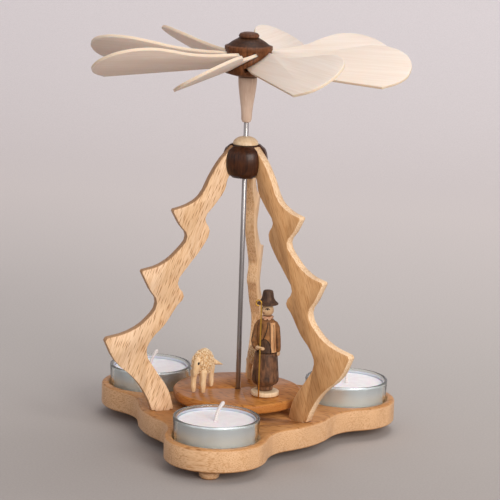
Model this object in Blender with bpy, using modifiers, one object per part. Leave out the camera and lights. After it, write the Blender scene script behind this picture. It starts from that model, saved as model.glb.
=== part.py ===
"""Tabletop Christmas pyramid.

Three fir-shaped legs on a lobed base carry a slotted head.  A steel shaft stands in a thrust cup, runs
through the head and carries a turntable with a shepherd and two sheep below and a bladed wheel above.
Three tealights in glass cups sit in the base.  Metres, +Z up, origin on the floor under the shaft.
"""
import math

import bmesh
import bpy
from mathutils import Matrix, Vector

MM = 0.001

# Clearances
FIT = 0.3 * MM
RECESS_PLAY = 0.5 * MM

# Base and feet
FOOT_RADIUS = 5.5 * MM
FOOT_HEIGHT = 5.6 * MM
FOOT_INSET = 10.8 * MM
BASE_THICK = 12.2 * MM
BASE_EDGE = 0.8 * MM
CANDLE_CIRCLE = 63.2 * MM
LOBE_WALL = 3.8 * MM
LOBE_FILLET = 26.0 * MM
CORE_MARGIN = 4.3 * MM
RECESS_DEPTH = 7.2 * MM
CANDLE_AZIMUTHS = {"front": -90.0, "right": 30.0, "left": 150.0}

# Tealights in their glass cups
GLASS_RADIUS = 22.5 * MM
GLASS_TAPER = 1.3 * MM
GLASS_HEIGHT = 17.6 * MM
GLASS_WALL = 2.7 * MM
GLASS_FLOOR = 3.0 * MM
TIN_WALL = 0.4 * MM
TIN_PLAY = 0.6 * MM
TIN_HEIGHT = 13.2 * MM
WAX_DROP = 1.6 * MM
WICK_RADIUS = 0.75 * MM
WICK_HEIGHT = 10.0 * MM
WICK_LEAN = 3.6 * MM

# Legs
LEG_THICK = 5.0 * MM
LEG_HEIGHT = 139.2 * MM
LEG_GAP = 2.45 * MM
LEG_TOP_RISE = 2.0 * MM
LEG_TOP_WIDTH = 1.2 * MM
TENON_DEPTH = 5.0 * MM
TENON_SHOULDER = 2.0 * MM
LEG_AZIMUTHS = {"left": -150.0, "right": -30.0, "back": 90.0}

# Head and guide cap
HEAD_RADIUS = 12.0 * MM
HEAD_FLAT_RADIUS = 8.2 * MM
HEAD_HEIGHT = 17.0 * MM
HEAD_CORE = 6.3 * MM
HEAD_ABOVE_LEG = 2.6 * MM
CAP_RADIUS = 6.75 * MM
CAP_HEIGHT = 4.3 * MM

# Shaft, thrust cup and turntable
SHAFT_RADIUS = 1.3 * MM
SHAFT_POINT = 3.0 * MM
THRUST_RADIUS = 4.5 * MM
THRUST_DEPTH = 6.0 * MM
TURNTABLE_THICK = 5.0 * MM
TURNTABLE_LIFT = 3.7 * MM
TURNTABLE_CLEARANCE = 5.95 * MM
TURNTABLE_EDGE = 0.8 * MM

# Wheel
WHEEL_GAP = 7.4 * MM
SLEEVE_LENGTH = 23.8 * MM
SLEEVE_TOP_RADIUS = 5.0 * MM
SLEEVE_END_RADIUS = 2.75 * MM
HUB_RADIUS = 12.6 * MM
HUB_BODY_HEIGHT = 14.35 * MM
HUB_BAND_HEIGHT = 2.4 * MM
HUB_CONE_HEIGHT = 3.6 * MM
BUTTON_RADIUS = 5.5 * MM
BUTTON_HEIGHT = 2.8 * MM
BLADE_COUNT = 8
BLADE_PHASE = -9.4
BLADE_PITCH = 30.0
BLADE_REACH = 87.7 * MM
BLADE_THICK = 1.6 * MM
BLADE_RISE = 20.3 * MM
BLADE_DROP = 14.2 * MM
BLADE_HEEL = 8.0 * MM
BLADE_NECK = 8.9 * MM
SLOT_DEPTH = 5.1 * MM

# Figures on the turntable
SHEPHERD_INSET = 16.1 * MM
SHEPHERD_AZIMUTH = -29.6
SHEPHERD_TURN = -7.0
SHEPHERD_BASE_RADIUS = 7.5 * MM
SHEPHERD_BASE_HEIGHT = 2.5 * MM
SKIRT_RADIUS = 7.3 * MM
SKIRT_HEIGHT = 20.8 * MM
JACKET_RADIUS = 5.9 * MM
JACKET_HEIGHT = 19.2 * MM
ARM_RADIUS = 1.7 * MM
HAND_RADIUS = 1.5 * MM
FACE_RADIUS = 3.3 * MM
HAT_BRIM_RADIUS = 5.7 * MM
HAT_HEIGHT = 7.1 * MM
STAFF_RADIUS = 0.45 * MM
STAFF_FORWARD = 9.3 * MM
STAFF_ASIDE = 0.8 * MM
STAFF_HEIGHT = 54.0 * MM
CROOK_RADIUS = 1.6 * MM
SHEEP_LENGTH = 21.0 * MM
SHEEP_WIDTH = 11.2 * MM
SHEEP_DEPTH = 14.4 * MM
SHEEP_BACK_HEIGHT = 22.6 * MM
SHEEP_LEG_RADIUS = 1.45 * MM
SHEEP_LEG_SOCKET = 1.8 * MM
FRONT_SHEEP = {"inset": 15.0 * MM, "azimuth": -156.0, "heading": -96.0, "tail": 70.0}
REAR_SHEEP = {"inset": 17.0 * MM, "azimuth": 60.0, "heading": -58.0, "tail": 20.0}

# Levels and radii that follow from the sizes above
BASE_TOP = FOOT_HEIGHT + BASE_THICK
RECESS_RADIUS = GLASS_RADIUS + RECESS_PLAY
LOBE_RADIUS = RECESS_RADIUS + LOBE_WALL
TURNTABLE_RADIUS = CANDLE_CIRCLE - GLASS_RADIUS - TURNTABLE_CLEARANCE
TURNTABLE_TOP = BASE_TOP + TURNTABLE_LIFT + TURNTABLE_THICK
LEG_FOOT = TURNTABLE_RADIUS + LEG_GAP
LEG_FOOT_OUTER = 1.323 * LEG_FOOT
CORE_RADIUS = LEG_FOOT_OUTER + CORE_MARGIN
HEAD_TOP = BASE_TOP + LEG_HEIGHT + HEAD_ABOVE_LEG
CAP_TOP = HEAD_TOP + FIT + CAP_HEIGHT
HUB_BOTTOM = CAP_TOP + WHEEL_GAP + SLEEVE_LENGTH + FIT
BAND_BOTTOM = HUB_BOTTOM + HUB_BODY_HEIGHT
BAND_TOP = BAND_BOTTOM + HUB_BAND_HEIGHT
HUB_TOP = BAND_TOP + HUB_CONE_HEIGHT
SHAFT_TOP = BAND_BOTTOM
BORE_RADIUS = SHAFT_RADIUS + FIT
BLADE_ROOT = HUB_RADIUS - SLOT_DEPTH
PITCH = math.radians(BLADE_PITCH)
BLADE_AXIS = BAND_BOTTOM - (BLADE_NECK + FIT) * math.sin(PITCH) - BLADE_THICK * math.cos(PITCH)
GLASS_BOTTOM = BASE_TOP - RECESS_DEPTH + FIT
TIN_BOTTOM = GLASS_BOTTOM + GLASS_FLOOR + FIT
TIN_RADIUS = GLASS_RADIUS - GLASS_WALL - TIN_PLAY
WAX_TOP = TIN_BOTTOM + TIN_HEIGHT - WAX_DROP

# The fir outline, from the head to the foot: radius in shares of LEG_FOOT, height in shares of LEG_HEIGHT
FIR_OUTSIDE = (
    (0.376, 0.967), (0.530, 0.902), (0.677, 0.828), (0.860, 0.795), (1.064, 0.779), (1.072, 0.771),
    (0.968, 0.720), (0.860, 0.675), (0.981, 0.623), (1.250, 0.568), (1.505, 0.550), (1.516, 0.542),
    (1.392, 0.476), (1.285, 0.422), (1.425, 0.361), (1.694, 0.315), (2.005, 0.295), (2.036, 0.284),
    (1.890, 0.206), (1.573, 0.125), (1.387, 0.047),
)
FIR_TIPS = (4, 5, 10, 11, 16, 17)
FIR_INSIDE = (
    (1.081, 0.079), (1.280, 0.160), (1.422, 0.234), (1.352, 0.282), (1.167, 0.334), (0.984, 0.408),
    (0.884, 0.443), (0.981, 0.494), (0.847, 0.555), (0.634, 0.629), (0.524, 0.694), (0.594, 0.741),
    (0.468, 0.790), (0.312, 0.851), (0.277, 0.891),
)


def clear_scene():
    for obj in list(bpy.data.objects):
        bpy.data.objects.remove(obj, do_unlink=True)


def new_collection(name):
    collection = bpy.data.collections.new(name)
    bpy.context.scene.collection.children.link(collection)
    return collection


def material(name, color, roughness, metallic=0.0, transmission=0.0):
    mat = bpy.data.materials.new(name)
    mat.use_nodes = True
    shader = mat.node_tree.nodes["Principled BSDF"]
    shader.inputs["Base Color"].default_value = (*color, 1.0)
    shader.inputs["Roughness"].default_value = roughness
    shader.inputs["Metallic"].default_value = metallic
    shader.inputs["Transmission Weight"].default_value = transmission
    return mat


def place(obj, collection, mat=None, parent=None, location=(0, 0, 0), rotation=(0, 0, 0)):
    for holder in list(obj.users_collection):
        holder.objects.unlink(obj)
    collection.objects.link(obj)
    if mat:
        obj.data.materials.append(mat)
    obj.parent = parent
    obj.location = location
    obj.rotation_euler = rotation
    return obj


def empty(name, collection, parent=None, location=(0, 0, 0), turn=0.0):
    return place(bpy.data.objects.new(name, None), collection, None, parent, location,
                 (0, 0, math.radians(turn)))


def polar(radius, azimuth, z=0.0):
    angle = math.radians(azimuth)
    return Vector((radius * math.cos(angle), radius * math.sin(angle), z))


def arc(centre, radius, start, end, count):
    """Points of a circle from one angle to another, in degrees, both ends included."""
    angles = [math.radians(start + (end - start) * i / count) for i in range(count + 1)]
    return [(centre[0] + radius * math.cos(a), centre[1] + radius * math.sin(a)) for a in angles]


def turned(name, profile, steps=32, closed=False):
    """A profile of (radius, z), down its outer side, swept round Z."""
    mesh = bpy.data.meshes.new(name)
    count = len(profile)
    edges = [(i, i + 1) for i in range(count - 1)]
    if closed:
        edges.append((count - 1, 0))
    mesh.from_pydata([(r, 0.0, z) for r, z in profile], edges, [])
    obj = bpy.data.objects.new(name, mesh)
    screw = obj.modifiers.new("turn", "SCREW")
    screw.steps = steps
    screw.render_steps = steps
    screw.use_merge_vertices = True
    screw.merge_threshold = 0.00001
    return obj


def flat_piece(name, points, thick, smooth, resolution=4, edge=0.0):
    """A closed outline in XY, filled and given its thickness along Z."""
    curve = bpy.data.curves.new(name, "CURVE")
    curve.dimensions = "2D"
    curve.fill_mode = "BOTH"
    curve.extrude = thick / 2 - edge
    curve.bevel_depth = edge
    curve.bevel_resolution = 0
    curve.offset = -edge
    curve.resolution_u = resolution
    spline = curve.splines.new("BEZIER")
    spline.bezier_points.add(len(points) - 1)
    for point, (x, y), is_smooth in zip(spline.bezier_points, points, smooth):
        point.co = (x, y, 0.0)
        kind = "AUTO" if is_smooth else "VECTOR"
        point.handle_left_type = kind
        point.handle_right_type = kind
    spline.use_cyclic_u = True
    return bpy.data.objects.new(name, curve)


def rod(name, points, radius, resolution=1):
    """A round wire or limb along a run of points."""
    curve = bpy.data.curves.new(name, "CURVE")
    curve.dimensions = "3D"
    curve.bevel_depth = radius
    curve.bevel_resolution = resolution
    curve.use_fill_caps = True
    spline = curve.splines.new("POLY")
    spline.points.add(len(points) - 1)
    for point, co in zip(spline.points, points):
        point.co = (*co, 1.0)
    return bpy.data.objects.new(name, curve)


def ball(name, radii, segments=16, rings=10):
    """A sphere stretched to three half-lengths."""
    mesh = bpy.data.meshes.new(name)
    bm = bmesh.new()
    bmesh.ops.create_uvsphere(bm, u_segments=segments, v_segments=rings, radius=1.0)
    bmesh.ops.scale(bm, vec=radii, verts=bm.verts)
    bm.to_mesh(mesh)
    bm.free()
    mesh.shade_smooth()
    return bpy.data.objects.new(name, mesh)


def peg(name, radius, top_radius, height, segments=12):
    """A round peg standing on z = 0."""
    mesh = bpy.data.meshes.new(name)
    bm = bmesh.new()
    bmesh.ops.create_cone(bm, cap_ends=True, segments=segments, radius1=radius, radius2=top_radius,
                          depth=height, matrix=Matrix.Translation((0, 0, height / 2)))
    bm.to_mesh(mesh)
    bm.free()
    return bpy.data.objects.new(name, mesh)


def block(name, low, high):
    """A box between two corners."""
    mesh = bpy.data.meshes.new(name)
    bm = bmesh.new()
    bmesh.ops.create_cube(bm, size=1.0)
    size = Vector(high) - Vector(low)
    bmesh.ops.scale(bm, vec=size, verts=bm.verts)
    bmesh.ops.translate(bm, vec=(Vector(low) + Vector(high)) / 2, verts=bm.verts)
    bm.to_mesh(mesh)
    bm.free()
    return bpy.data.objects.new(name, mesh)


def as_mesh(obj, collection):
    """A curve piece made a welded mesh, so that it can be cut."""
    bpy.context.scene.collection.objects.link(obj)
    bpy.context.view_layer.update()
    depsgraph = bpy.context.evaluated_depsgraph_get()
    mesh = bpy.data.meshes.new_from_object(obj.evaluated_get(depsgraph))
    bm = bmesh.new()
    bm.from_mesh(mesh)
    bmesh.ops.remove_doubles(bm, verts=bm.verts, dist=0.00001)
    bmesh.ops.recalc_face_normals(bm, faces=bm.faces)
    bm.to_mesh(mesh)
    bm.free()
    name = obj.name
    bpy.data.objects.remove(obj, do_unlink=True)
    solid = bpy.data.objects.new(name, mesh)
    collection.objects.link(solid)
    return solid


def cut(obj, cutter, cutters, parent=None, location=(0, 0, 0), rotation=(0, 0, 0)):
    place(cutter, cutters, None, parent, location, rotation)
    cutter.hide_render = True
    cutter.display_type = "WIRE"
    boolean = obj.modifiers.new(cutter.name, "BOOLEAN")
    boolean.operation = "DIFFERENCE"
    boolean.object = cutter


def base_outline():
    """Core circle and three candle lobes, joined by concave fillets, anticlockwise from the front lobe."""
    to_core = CORE_RADIUS + LOBE_FILLET
    to_lobe = LOBE_RADIUS + LOBE_FILLET
    share = (to_core ** 2 + CANDLE_CIRCLE ** 2 - to_lobe ** 2) / (2 * to_core * CANDLE_CIRCLE)
    swing = math.degrees(math.acos(share))
    points = []
    for azimuth in (-90.0, 30.0, 150.0):
        lobe = polar(CANDLE_CIRCLE, azimuth)
        before = polar(to_core, azimuth - swing)
        after = polar(to_core, azimuth + swing)
        reach = (after - lobe).to_2d().angle_signed(lobe.to_2d())
        half = math.degrees(abs(reach))
        from_lobe = azimuth + half
        points += arc(before, LOBE_FILLET, azimuth - swing + 180, azimuth - half + 180, 6)[:-1]
        points += arc(lobe, LOBE_RADIUS, azimuth - half, azimuth + half, 18)
        points += arc(after, LOBE_FILLET, from_lobe + 180, azimuth + swing + 180, 6)[1:]
        gap = 120 - 2 * swing
        points += arc((0, 0), CORE_RADIUS, azimuth + swing, azimuth + swing + gap, 5)[1:-1]
    return points


def leg_outline():
    """Fir silhouette with a tenon below and a straight root edge inside the head."""
    def scaled(points):
        return [(r * LEG_FOOT, z * LEG_HEIGHT) for r, z in points]

    root = HEAD_CORE + FIT
    tenon_out = LEG_FOOT_OUTER - TENON_SHOULDER
    tenon_in = LEG_FOOT + TENON_SHOULDER
    outside = scaled(FIR_OUTSIDE)
    inside = scaled(FIR_INSIDE)
    foot = [(LEG_FOOT_OUTER, FIT), (tenon_out, FIT), (tenon_out, FIT - TENON_DEPTH),
            (tenon_in, FIT - TENON_DEPTH), (tenon_in, FIT), (LEG_FOOT, FIT)]
    crest = LEG_HEIGHT + LEG_TOP_RISE
    top = [(root, LEG_HEIGHT - HEAD_HEIGHT / 2), (root, crest), (root + LEG_TOP_WIDTH, crest)]
    points = outside + foot + inside + top
    smooth = [i not in FIR_TIPS for i in range(len(outside))] + [False] * len(foot)
    smooth += [True] * len(inside) + [False] * len(top)
    return points, smooth


def blade_outline():
    """One straight edge that widens outwards, one S-curved edge and a broad blunt tip."""
    span = BLADE_REACH - BLADE_ROOT
    shares = [
        (0.08, BLADE_NECK), (0.20, 0.43 * BLADE_RISE), (0.38, 0.56 * BLADE_RISE), (0.54, 0.82 * BLADE_RISE),
        (0.70, BLADE_RISE), (0.87, 0.88 * BLADE_RISE), (0.97, 0.50 * BLADE_RISE), (1.0, 0.08 * BLADE_RISE),
        (0.978, -0.46 * BLADE_DROP), (0.865, -BLADE_DROP), (0.13, -BLADE_HEEL),
    ]
    points = [(BLADE_ROOT, BLADE_NECK)] + [(BLADE_ROOT + share * span, y) for share, y in shares]
    points.append((BLADE_ROOT, -0.7 * BLADE_HEEL))
    smooth = [False] + [True] * 9 + [False] * 3
    return points, smooth


def build_base(parts, cutters, wood, steel):
    outline = base_outline()
    plate = flat_piece("base_plate", outline, BASE_THICK, [False] * len(outline), 1, BASE_EDGE)
    plate = as_mesh(plate, parts)
    place(plate, parts, wood, None, (0, 0, FOOT_HEIGHT + BASE_THICK / 2))
    for side, azimuth in CANDLE_AZIMUTHS.items():
        recess = peg("recess_" + side, RECESS_RADIUS, RECESS_RADIUS, 2 * RECESS_DEPTH, 40)
        cut(plate, recess, cutters, None, polar(CANDLE_CIRCLE, azimuth, BASE_TOP - RECESS_DEPTH))
        foot = turned("foot_" + side, [
            (0, FOOT_HEIGHT - FIT), (0.72 * FOOT_RADIUS, FOOT_HEIGHT - FIT), (FOOT_RADIUS, 0.6 * FOOT_HEIGHT),
            (0.92 * FOOT_RADIUS, 0.2 * FOOT_HEIGHT), (0.7 * FOOT_RADIUS, 0), (0, 0)], 20)
        place(foot, parts, wood, None, polar(CANDLE_CIRCLE + LOBE_RADIUS - FOOT_INSET, azimuth))
    for side, azimuth in LEG_AZIMUTHS.items():
        inner = LEG_FOOT + TENON_SHOULDER - FIT
        outer = LEG_FOOT_OUTER - TENON_SHOULDER + FIT
        half = LEG_THICK / 2 + FIT
        mortise = block("mortise_" + side, (inner, -half, -TENON_DEPTH), (outer, half, TENON_DEPTH))
        cut(plate, mortise, cutters, None, (0, 0, BASE_TOP), (0, 0, math.radians(azimuth)))
    well = peg("thrust_well", THRUST_RADIUS + FIT, THRUST_RADIUS + FIT, 2 * THRUST_DEPTH, 24)
    cut(plate, well, cutters, None, (0, 0, BASE_TOP - THRUST_DEPTH))
    cup_bottom = BASE_TOP - THRUST_DEPTH + FIT
    pocket = cup_bottom + THRUST_DEPTH / 3
    cup = turned("thrust_cup", [
        (0, pocket), (BORE_RADIUS, pocket + SHAFT_POINT), (BORE_RADIUS, BASE_TOP + FIT),
        (THRUST_RADIUS, BASE_TOP + FIT), (THRUST_RADIUS, cup_bottom), (0, cup_bottom)], 20)
    place(cup, parts, steel)
    return pocket + FIT


def build_legs_and_head(parts, cutters, wood, dark, pale):
    points, smooth = leg_outline()
    head_bottom = HEAD_TOP - HEAD_HEIGHT
    middle = HEAD_TOP - HEAD_HEIGHT / 2
    rounds = []
    for i in range(9):
        height = 1 - i / 4
        bulge = math.sqrt(1 - height ** 2)
        rounds.append((HEAD_FLAT_RADIUS + (HEAD_RADIUS - HEAD_FLAT_RADIUS) * bulge,
                       middle + height * HEAD_HEIGHT / 2))
    bore = BORE_RADIUS + FIT
    head = turned("head_ball", rounds + [(bore, head_bottom), (bore, HEAD_TOP)], 36, closed=True)
    place(head, parts, dark)
    for side, azimuth in LEG_AZIMUTHS.items():
        turn = math.radians(azimuth)
        leg = flat_piece("leg_" + side, points, LEG_THICK, smooth, 3)
        place(leg, parts, wood, None, (0, 0, BASE_TOP), (math.pi / 2, 0, turn))
        half = LEG_THICK / 2 + FIT
        slot = block("head_slot_" + side, (HEAD_CORE, -half, head_bottom - HEAD_HEIGHT),
                     (2 * HEAD_RADIUS, half, HEAD_TOP + HEAD_HEIGHT))
        cut(head, slot, cutters, None, (0, 0, 0), (0, 0, turn))
    seat = HEAD_TOP + FIT
    dome = []
    for i in range(8):
        angle = math.radians(12 + 70 * i / 7)
        dome.append((CAP_RADIUS * math.sin(angle) / math.sin(math.radians(82)),
                     CAP_TOP - CAP_HEIGHT * (1 - math.cos(angle))))
    dome += [(CAP_RADIUS, seat), (BORE_RADIUS, seat), (BORE_RADIUS, dome[0][1])]
    place(turned("guide_cap", dome, 28, closed=True), parts, pale)


def build_spindle(parts, spin, tip, wood, steel):
    shaft = turned("shaft", [
        (0, SHAFT_TOP), (SHAFT_RADIUS, SHAFT_TOP), (SHAFT_RADIUS, tip + SHAFT_POINT), (0, tip)], 16)
    place(shaft, parts, steel, spin)
    bottom = TURNTABLE_TOP - TURNTABLE_THICK
    edge = TURNTABLE_EDGE
    disc = turned("turntable", [
        (BORE_RADIUS, TURNTABLE_TOP), (TURNTABLE_RADIUS - edge, TURNTABLE_TOP),
        (TURNTABLE_RADIUS, TURNTABLE_TOP - edge), (TURNTABLE_RADIUS, bottom + edge),
        (TURNTABLE_RADIUS - edge, bottom), (BORE_RADIUS, bottom)], 56, closed=True)
    place(disc, parts, wood, spin)


def build_wheel(parts, cutters, spin, dark, pale, blade_wood):
    top = HUB_BOTTOM - FIT
    bottom = top - SLEEVE_LENGTH
    cove = []
    for i in range(8):
        fall = i / 7
        flare = 1 - fall ** 2 * (3 - 2 * fall)
        cove.append((SLEEVE_END_RADIUS + (SLEEVE_TOP_RADIUS - SLEEVE_END_RADIUS) * flare,
                     top - fall * 0.94 * SLEEVE_LENGTH))
    end = [(0.75 * SLEEVE_END_RADIUS, bottom), (BORE_RADIUS, bottom), (BORE_RADIUS, top)]
    place(turned("sleeve", cove + end, 24, closed=True), parts, pale, spin)

    body = 0.965 * HUB_RADIUS
    hub = turned("hub", [
        (0, HUB_TOP), (BUTTON_RADIUS, HUB_TOP), (0.70 * HUB_RADIUS, BAND_TOP + 0.46 * HUB_CONE_HEIGHT),
        (0.87 * HUB_RADIUS, BAND_TOP), (HUB_RADIUS, BAND_TOP - 0.25 * HUB_BAND_HEIGHT),
        (HUB_RADIUS, BAND_BOTTOM), (body, BAND_BOTTOM), (HUB_RADIUS, HUB_BOTTOM + 0.34 * HUB_BODY_HEIGHT),
        (body, HUB_BOTTOM + 0.14 * HUB_BODY_HEIGHT), (SLEEVE_TOP_RADIUS, HUB_BOTTOM),
        (BORE_RADIUS, HUB_BOTTOM), (BORE_RADIUS, SHAFT_TOP + FIT), (0, SHAFT_TOP + FIT)], 40)
    place(hub, parts, dark, spin)
    seat = HUB_TOP + FIT
    button = turned("hub_button", [
        (0, seat + BUTTON_HEIGHT), (0.55 * BUTTON_RADIUS, seat + 0.96 * BUTTON_HEIGHT),
        (0.86 * BUTTON_RADIUS, seat + 0.75 * BUTTON_HEIGHT), (BUTTON_RADIUS, seat + 0.35 * BUTTON_HEIGHT),
        (0.94 * BUTTON_RADIUS, seat), (0, seat)], 24)
    place(button, parts, dark, spin)

    points, smooth = blade_outline()
    half = BLADE_THICK / 2 + FIT
    for i in range(BLADE_COUNT):
        rotation = (PITCH, 0, math.radians(BLADE_PHASE + 360 * i / BLADE_COUNT))
        blade = flat_piece("blade_%d" % (i + 1), points, BLADE_THICK, smooth, 4)
        place(blade, parts, blade_wood, spin, (0, 0, BLADE_AXIS), rotation)
        slot = block("blade_slot_%d" % (i + 1), (BLADE_ROOT - FIT, -BLADE_HEEL - FIT, -half),
                     (2 * HUB_RADIUS, BLADE_NECK + FIT, half))
        cut(hub, slot, cutters, spin, (0, 0, BLADE_AXIS), rotation)


def build_tealights(parts, glass, tin, wax_mat, wick_mat):
    rim = GLASS_BOTTOM + GLASS_HEIGHT
    foot = GLASS_RADIUS - GLASS_TAPER
    inner = GLASS_RADIUS - GLASS_WALL
    inner_foot = TIN_RADIUS + FIT
    floor = GLASS_BOTTOM + GLASS_FLOOR
    tin_rim = TIN_BOTTOM + TIN_HEIGHT
    wax_radius = TIN_RADIUS - TIN_WALL - FIT
    for side, azimuth in CANDLE_AZIMUTHS.items():
        centre = polar(CANDLE_CIRCLE, azimuth)
        holder = empty("candle_" + side, parts, None, centre)
        cup = turned("glass_cup_" + side, [
            (0, floor), (inner_foot, floor), (inner, rim - 0.3 * GLASS_WALL), (inner + 0.3 * GLASS_WALL, rim),
            (GLASS_RADIUS - 0.3 * GLASS_WALL, rim), (GLASS_RADIUS, rim - 0.3 * GLASS_WALL),
            (foot, GLASS_BOTTOM + GLASS_FLOOR), (foot - GLASS_WALL, GLASS_BOTTOM), (0, GLASS_BOTTOM)], 32)
        place(cup, parts, glass, holder)
        shell = turned("tealight_cup_" + side, [
            (0, TIN_BOTTOM + TIN_WALL), (TIN_RADIUS - TIN_WALL, TIN_BOTTOM + TIN_WALL),
            (TIN_RADIUS - TIN_WALL, tin_rim), (TIN_RADIUS, tin_rim), (TIN_RADIUS, TIN_BOTTOM),
            (0, TIN_BOTTOM)], 32)
        place(shell, parts, tin, holder)
        wax = turned("wax_" + side, [
            (0, WAX_TOP), (wax_radius, WAX_TOP), (wax_radius, TIN_BOTTOM + TIN_WALL + FIT),
            (0, TIN_BOTTOM + TIN_WALL + FIT)], 32)
        place(wax, parts, wax_mat, holder)
        start = WAX_TOP + FIT
        wick = rod("wick_" + side, [
            (0, 0, start), (0.2 * WICK_LEAN, 0, start + 0.5 * WICK_HEIGHT),
            (WICK_LEAN, 0, start + WICK_HEIGHT)], WICK_RADIUS)
        place(wick, parts, wick_mat, holder)


def build_shepherd(parts, cutters, spin, coat, cloth, skin, pale, brass):
    spot = polar(TURNTABLE_RADIUS - SHEPHERD_INSET, SHEPHERD_AZIMUTH, TURNTABLE_TOP + FIT)
    figure = empty("shepherd", parts, spin, spot, SHEPHERD_TURN)
    plinth = turned("shepherd_base", [
        (0, SHEPHERD_BASE_HEIGHT), (0.93 * SHEPHERD_BASE_RADIUS, SHEPHERD_BASE_HEIGHT),
        (SHEPHERD_BASE_RADIUS, 0.7 * SHEPHERD_BASE_HEIGHT), (SHEPHERD_BASE_RADIUS, 0), (0, 0)], 24)
    place(plinth, parts, pale, figure)

    hem = SHEPHERD_BASE_HEIGHT + FIT
    waist = hem + SKIRT_HEIGHT
    skirt = turned("shepherd_skirt", [
        (0, waist), (0.80 * SKIRT_RADIUS, waist), (0.92 * SKIRT_RADIUS, hem + 0.62 * SKIRT_HEIGHT),
        (SKIRT_RADIUS, hem + 0.28 * SKIRT_HEIGHT), (0.84 * SKIRT_RADIUS, hem + 0.18 * SKIRT_HEIGHT),
        (0.53 * SKIRT_RADIUS, hem + 0.13 * SKIRT_HEIGHT), (0.53 * SKIRT_RADIUS, hem), (0, hem)], 20)
    place(skirt, parts, coat, figure)

    low = waist + FIT
    neck = low + JACKET_HEIGHT

    def jacket_profile(clear):
        return [
            (0, neck + clear), (0.44 * JACKET_RADIUS + clear, neck + clear),
            (0.47 * JACKET_RADIUS + clear, neck - 0.06 * JACKET_HEIGHT),
            (0.76 * JACKET_RADIUS + clear, neck - 0.13 * JACKET_HEIGHT),
            (0.85 * JACKET_RADIUS + clear, neck - 0.27 * JACKET_HEIGHT),
            (0.92 * JACKET_RADIUS + clear, low + 0.37 * JACKET_HEIGHT),
            (JACKET_RADIUS + clear, low - clear), (0, low - clear)]

    place(turned("shepherd_jacket", jacket_profile(0), 20), parts, cloth, figure)

    face_centre = neck + FIT + FACE_RADIUS
    place(ball("shepherd_head", (FACE_RADIUS, FACE_RADIUS, FACE_RADIUS), 14, 9), parts, skin, figure,
          (0, 0, face_centre))
    inside = FACE_RADIUS + FIT
    brim = face_centre + 0.95 * inside
    crown = brim + HAT_HEIGHT
    hat = turned("shepherd_hat", [
        (0, crown), (0.42 * HAT_BRIM_RADIUS, crown), (0.50 * HAT_BRIM_RADIUS, crown - 0.1 * HAT_HEIGHT),
        (0.58 * HAT_BRIM_RADIUS, brim + 0.4 * HAT_HEIGHT),
        (0.75 * HAT_BRIM_RADIUS, brim + 0.18 * HAT_HEIGHT), (HAT_BRIM_RADIUS, brim),
        (0.98 * HAT_BRIM_RADIUS, brim - 0.06 * HAT_HEIGHT), (0.31 * inside, brim),
        (0, face_centre + inside)], 20)
    place(hat, parts, coat, figure)

    grip = Vector((-STAFF_ASIDE, -STAFF_FORWARD, low + 0.19 * JACKET_HEIGHT))
    rest = Vector((1.22 * JACKET_RADIUS, 0, low - 0.4 * HAND_RADIUS))

    def limb(shares):
        """Points beside the jacket, in shares of its radius across and forward and of its height upwards."""
        return [Vector((x * JACKET_RADIUS, y * JACKET_RADIUS, low + z * JACKET_HEIGHT)) for x, y, z in shares]

    bent = limb([(-0.66, 0, 0.87), (-0.90, 0, 0.74), (-1.04, -0.10, 0.47), (-1.05, -0.38, 0.29),
                 (-0.85, -0.85, 0.2)])
    bent.append(grip + (bent[-1] - grip).normalized() * (HAND_RADIUS + FIT))
    hanging = limb([(0.66, 0, 0.87), (0.90, 0, 0.74), (1.04, 0, 0.42), (1.10, 0, 0.16)])
    hanging.append(rest + Vector((-0.1 * JACKET_RADIUS, 0, 0.9 * HAND_RADIUS + FIT)))
    for name, run in (("shepherd_arm_right", bent), ("shepherd_arm_left", hanging)):
        arm = as_mesh(rod(name, run, ARM_RADIUS, 2), parts)
        place(arm, parts, cloth, figure)
        cut(arm, turned(name + "_side", jacket_profile(FIT), 20), cutters, figure)
    palm = (0.6 * HAND_RADIUS, 0.8 * HAND_RADIUS, 0.9 * HAND_RADIUS)
    place(ball("shepherd_hand_left", palm, 10, 7), parts, skin, figure, rest)
    hand = ball("shepherd_hand_right", (HAND_RADIUS, HAND_RADIUS, HAND_RADIUS), 10, 7)
    place(hand, parts, skin, figure, grip)
    hole = peg("staff_hole", STAFF_RADIUS + FIT, STAFF_RADIUS + FIT, 4 * HAND_RADIUS, 10)
    cut(hand, hole, cutters, figure, grip - Vector((0, 0, 2 * HAND_RADIUS)))

    loop = STAFF_HEIGHT - CROOK_RADIUS
    crook = arc((grip.x - CROOK_RADIUS, loop), CROOK_RADIUS, 0, 260, 10)
    wire = [(grip.x, grip.y, FIT)] + [(x, grip.y, z) for x, z in crook]
    place(rod("shepherd_staff", wire, STAFF_RADIUS), parts, brass, figure)


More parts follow.
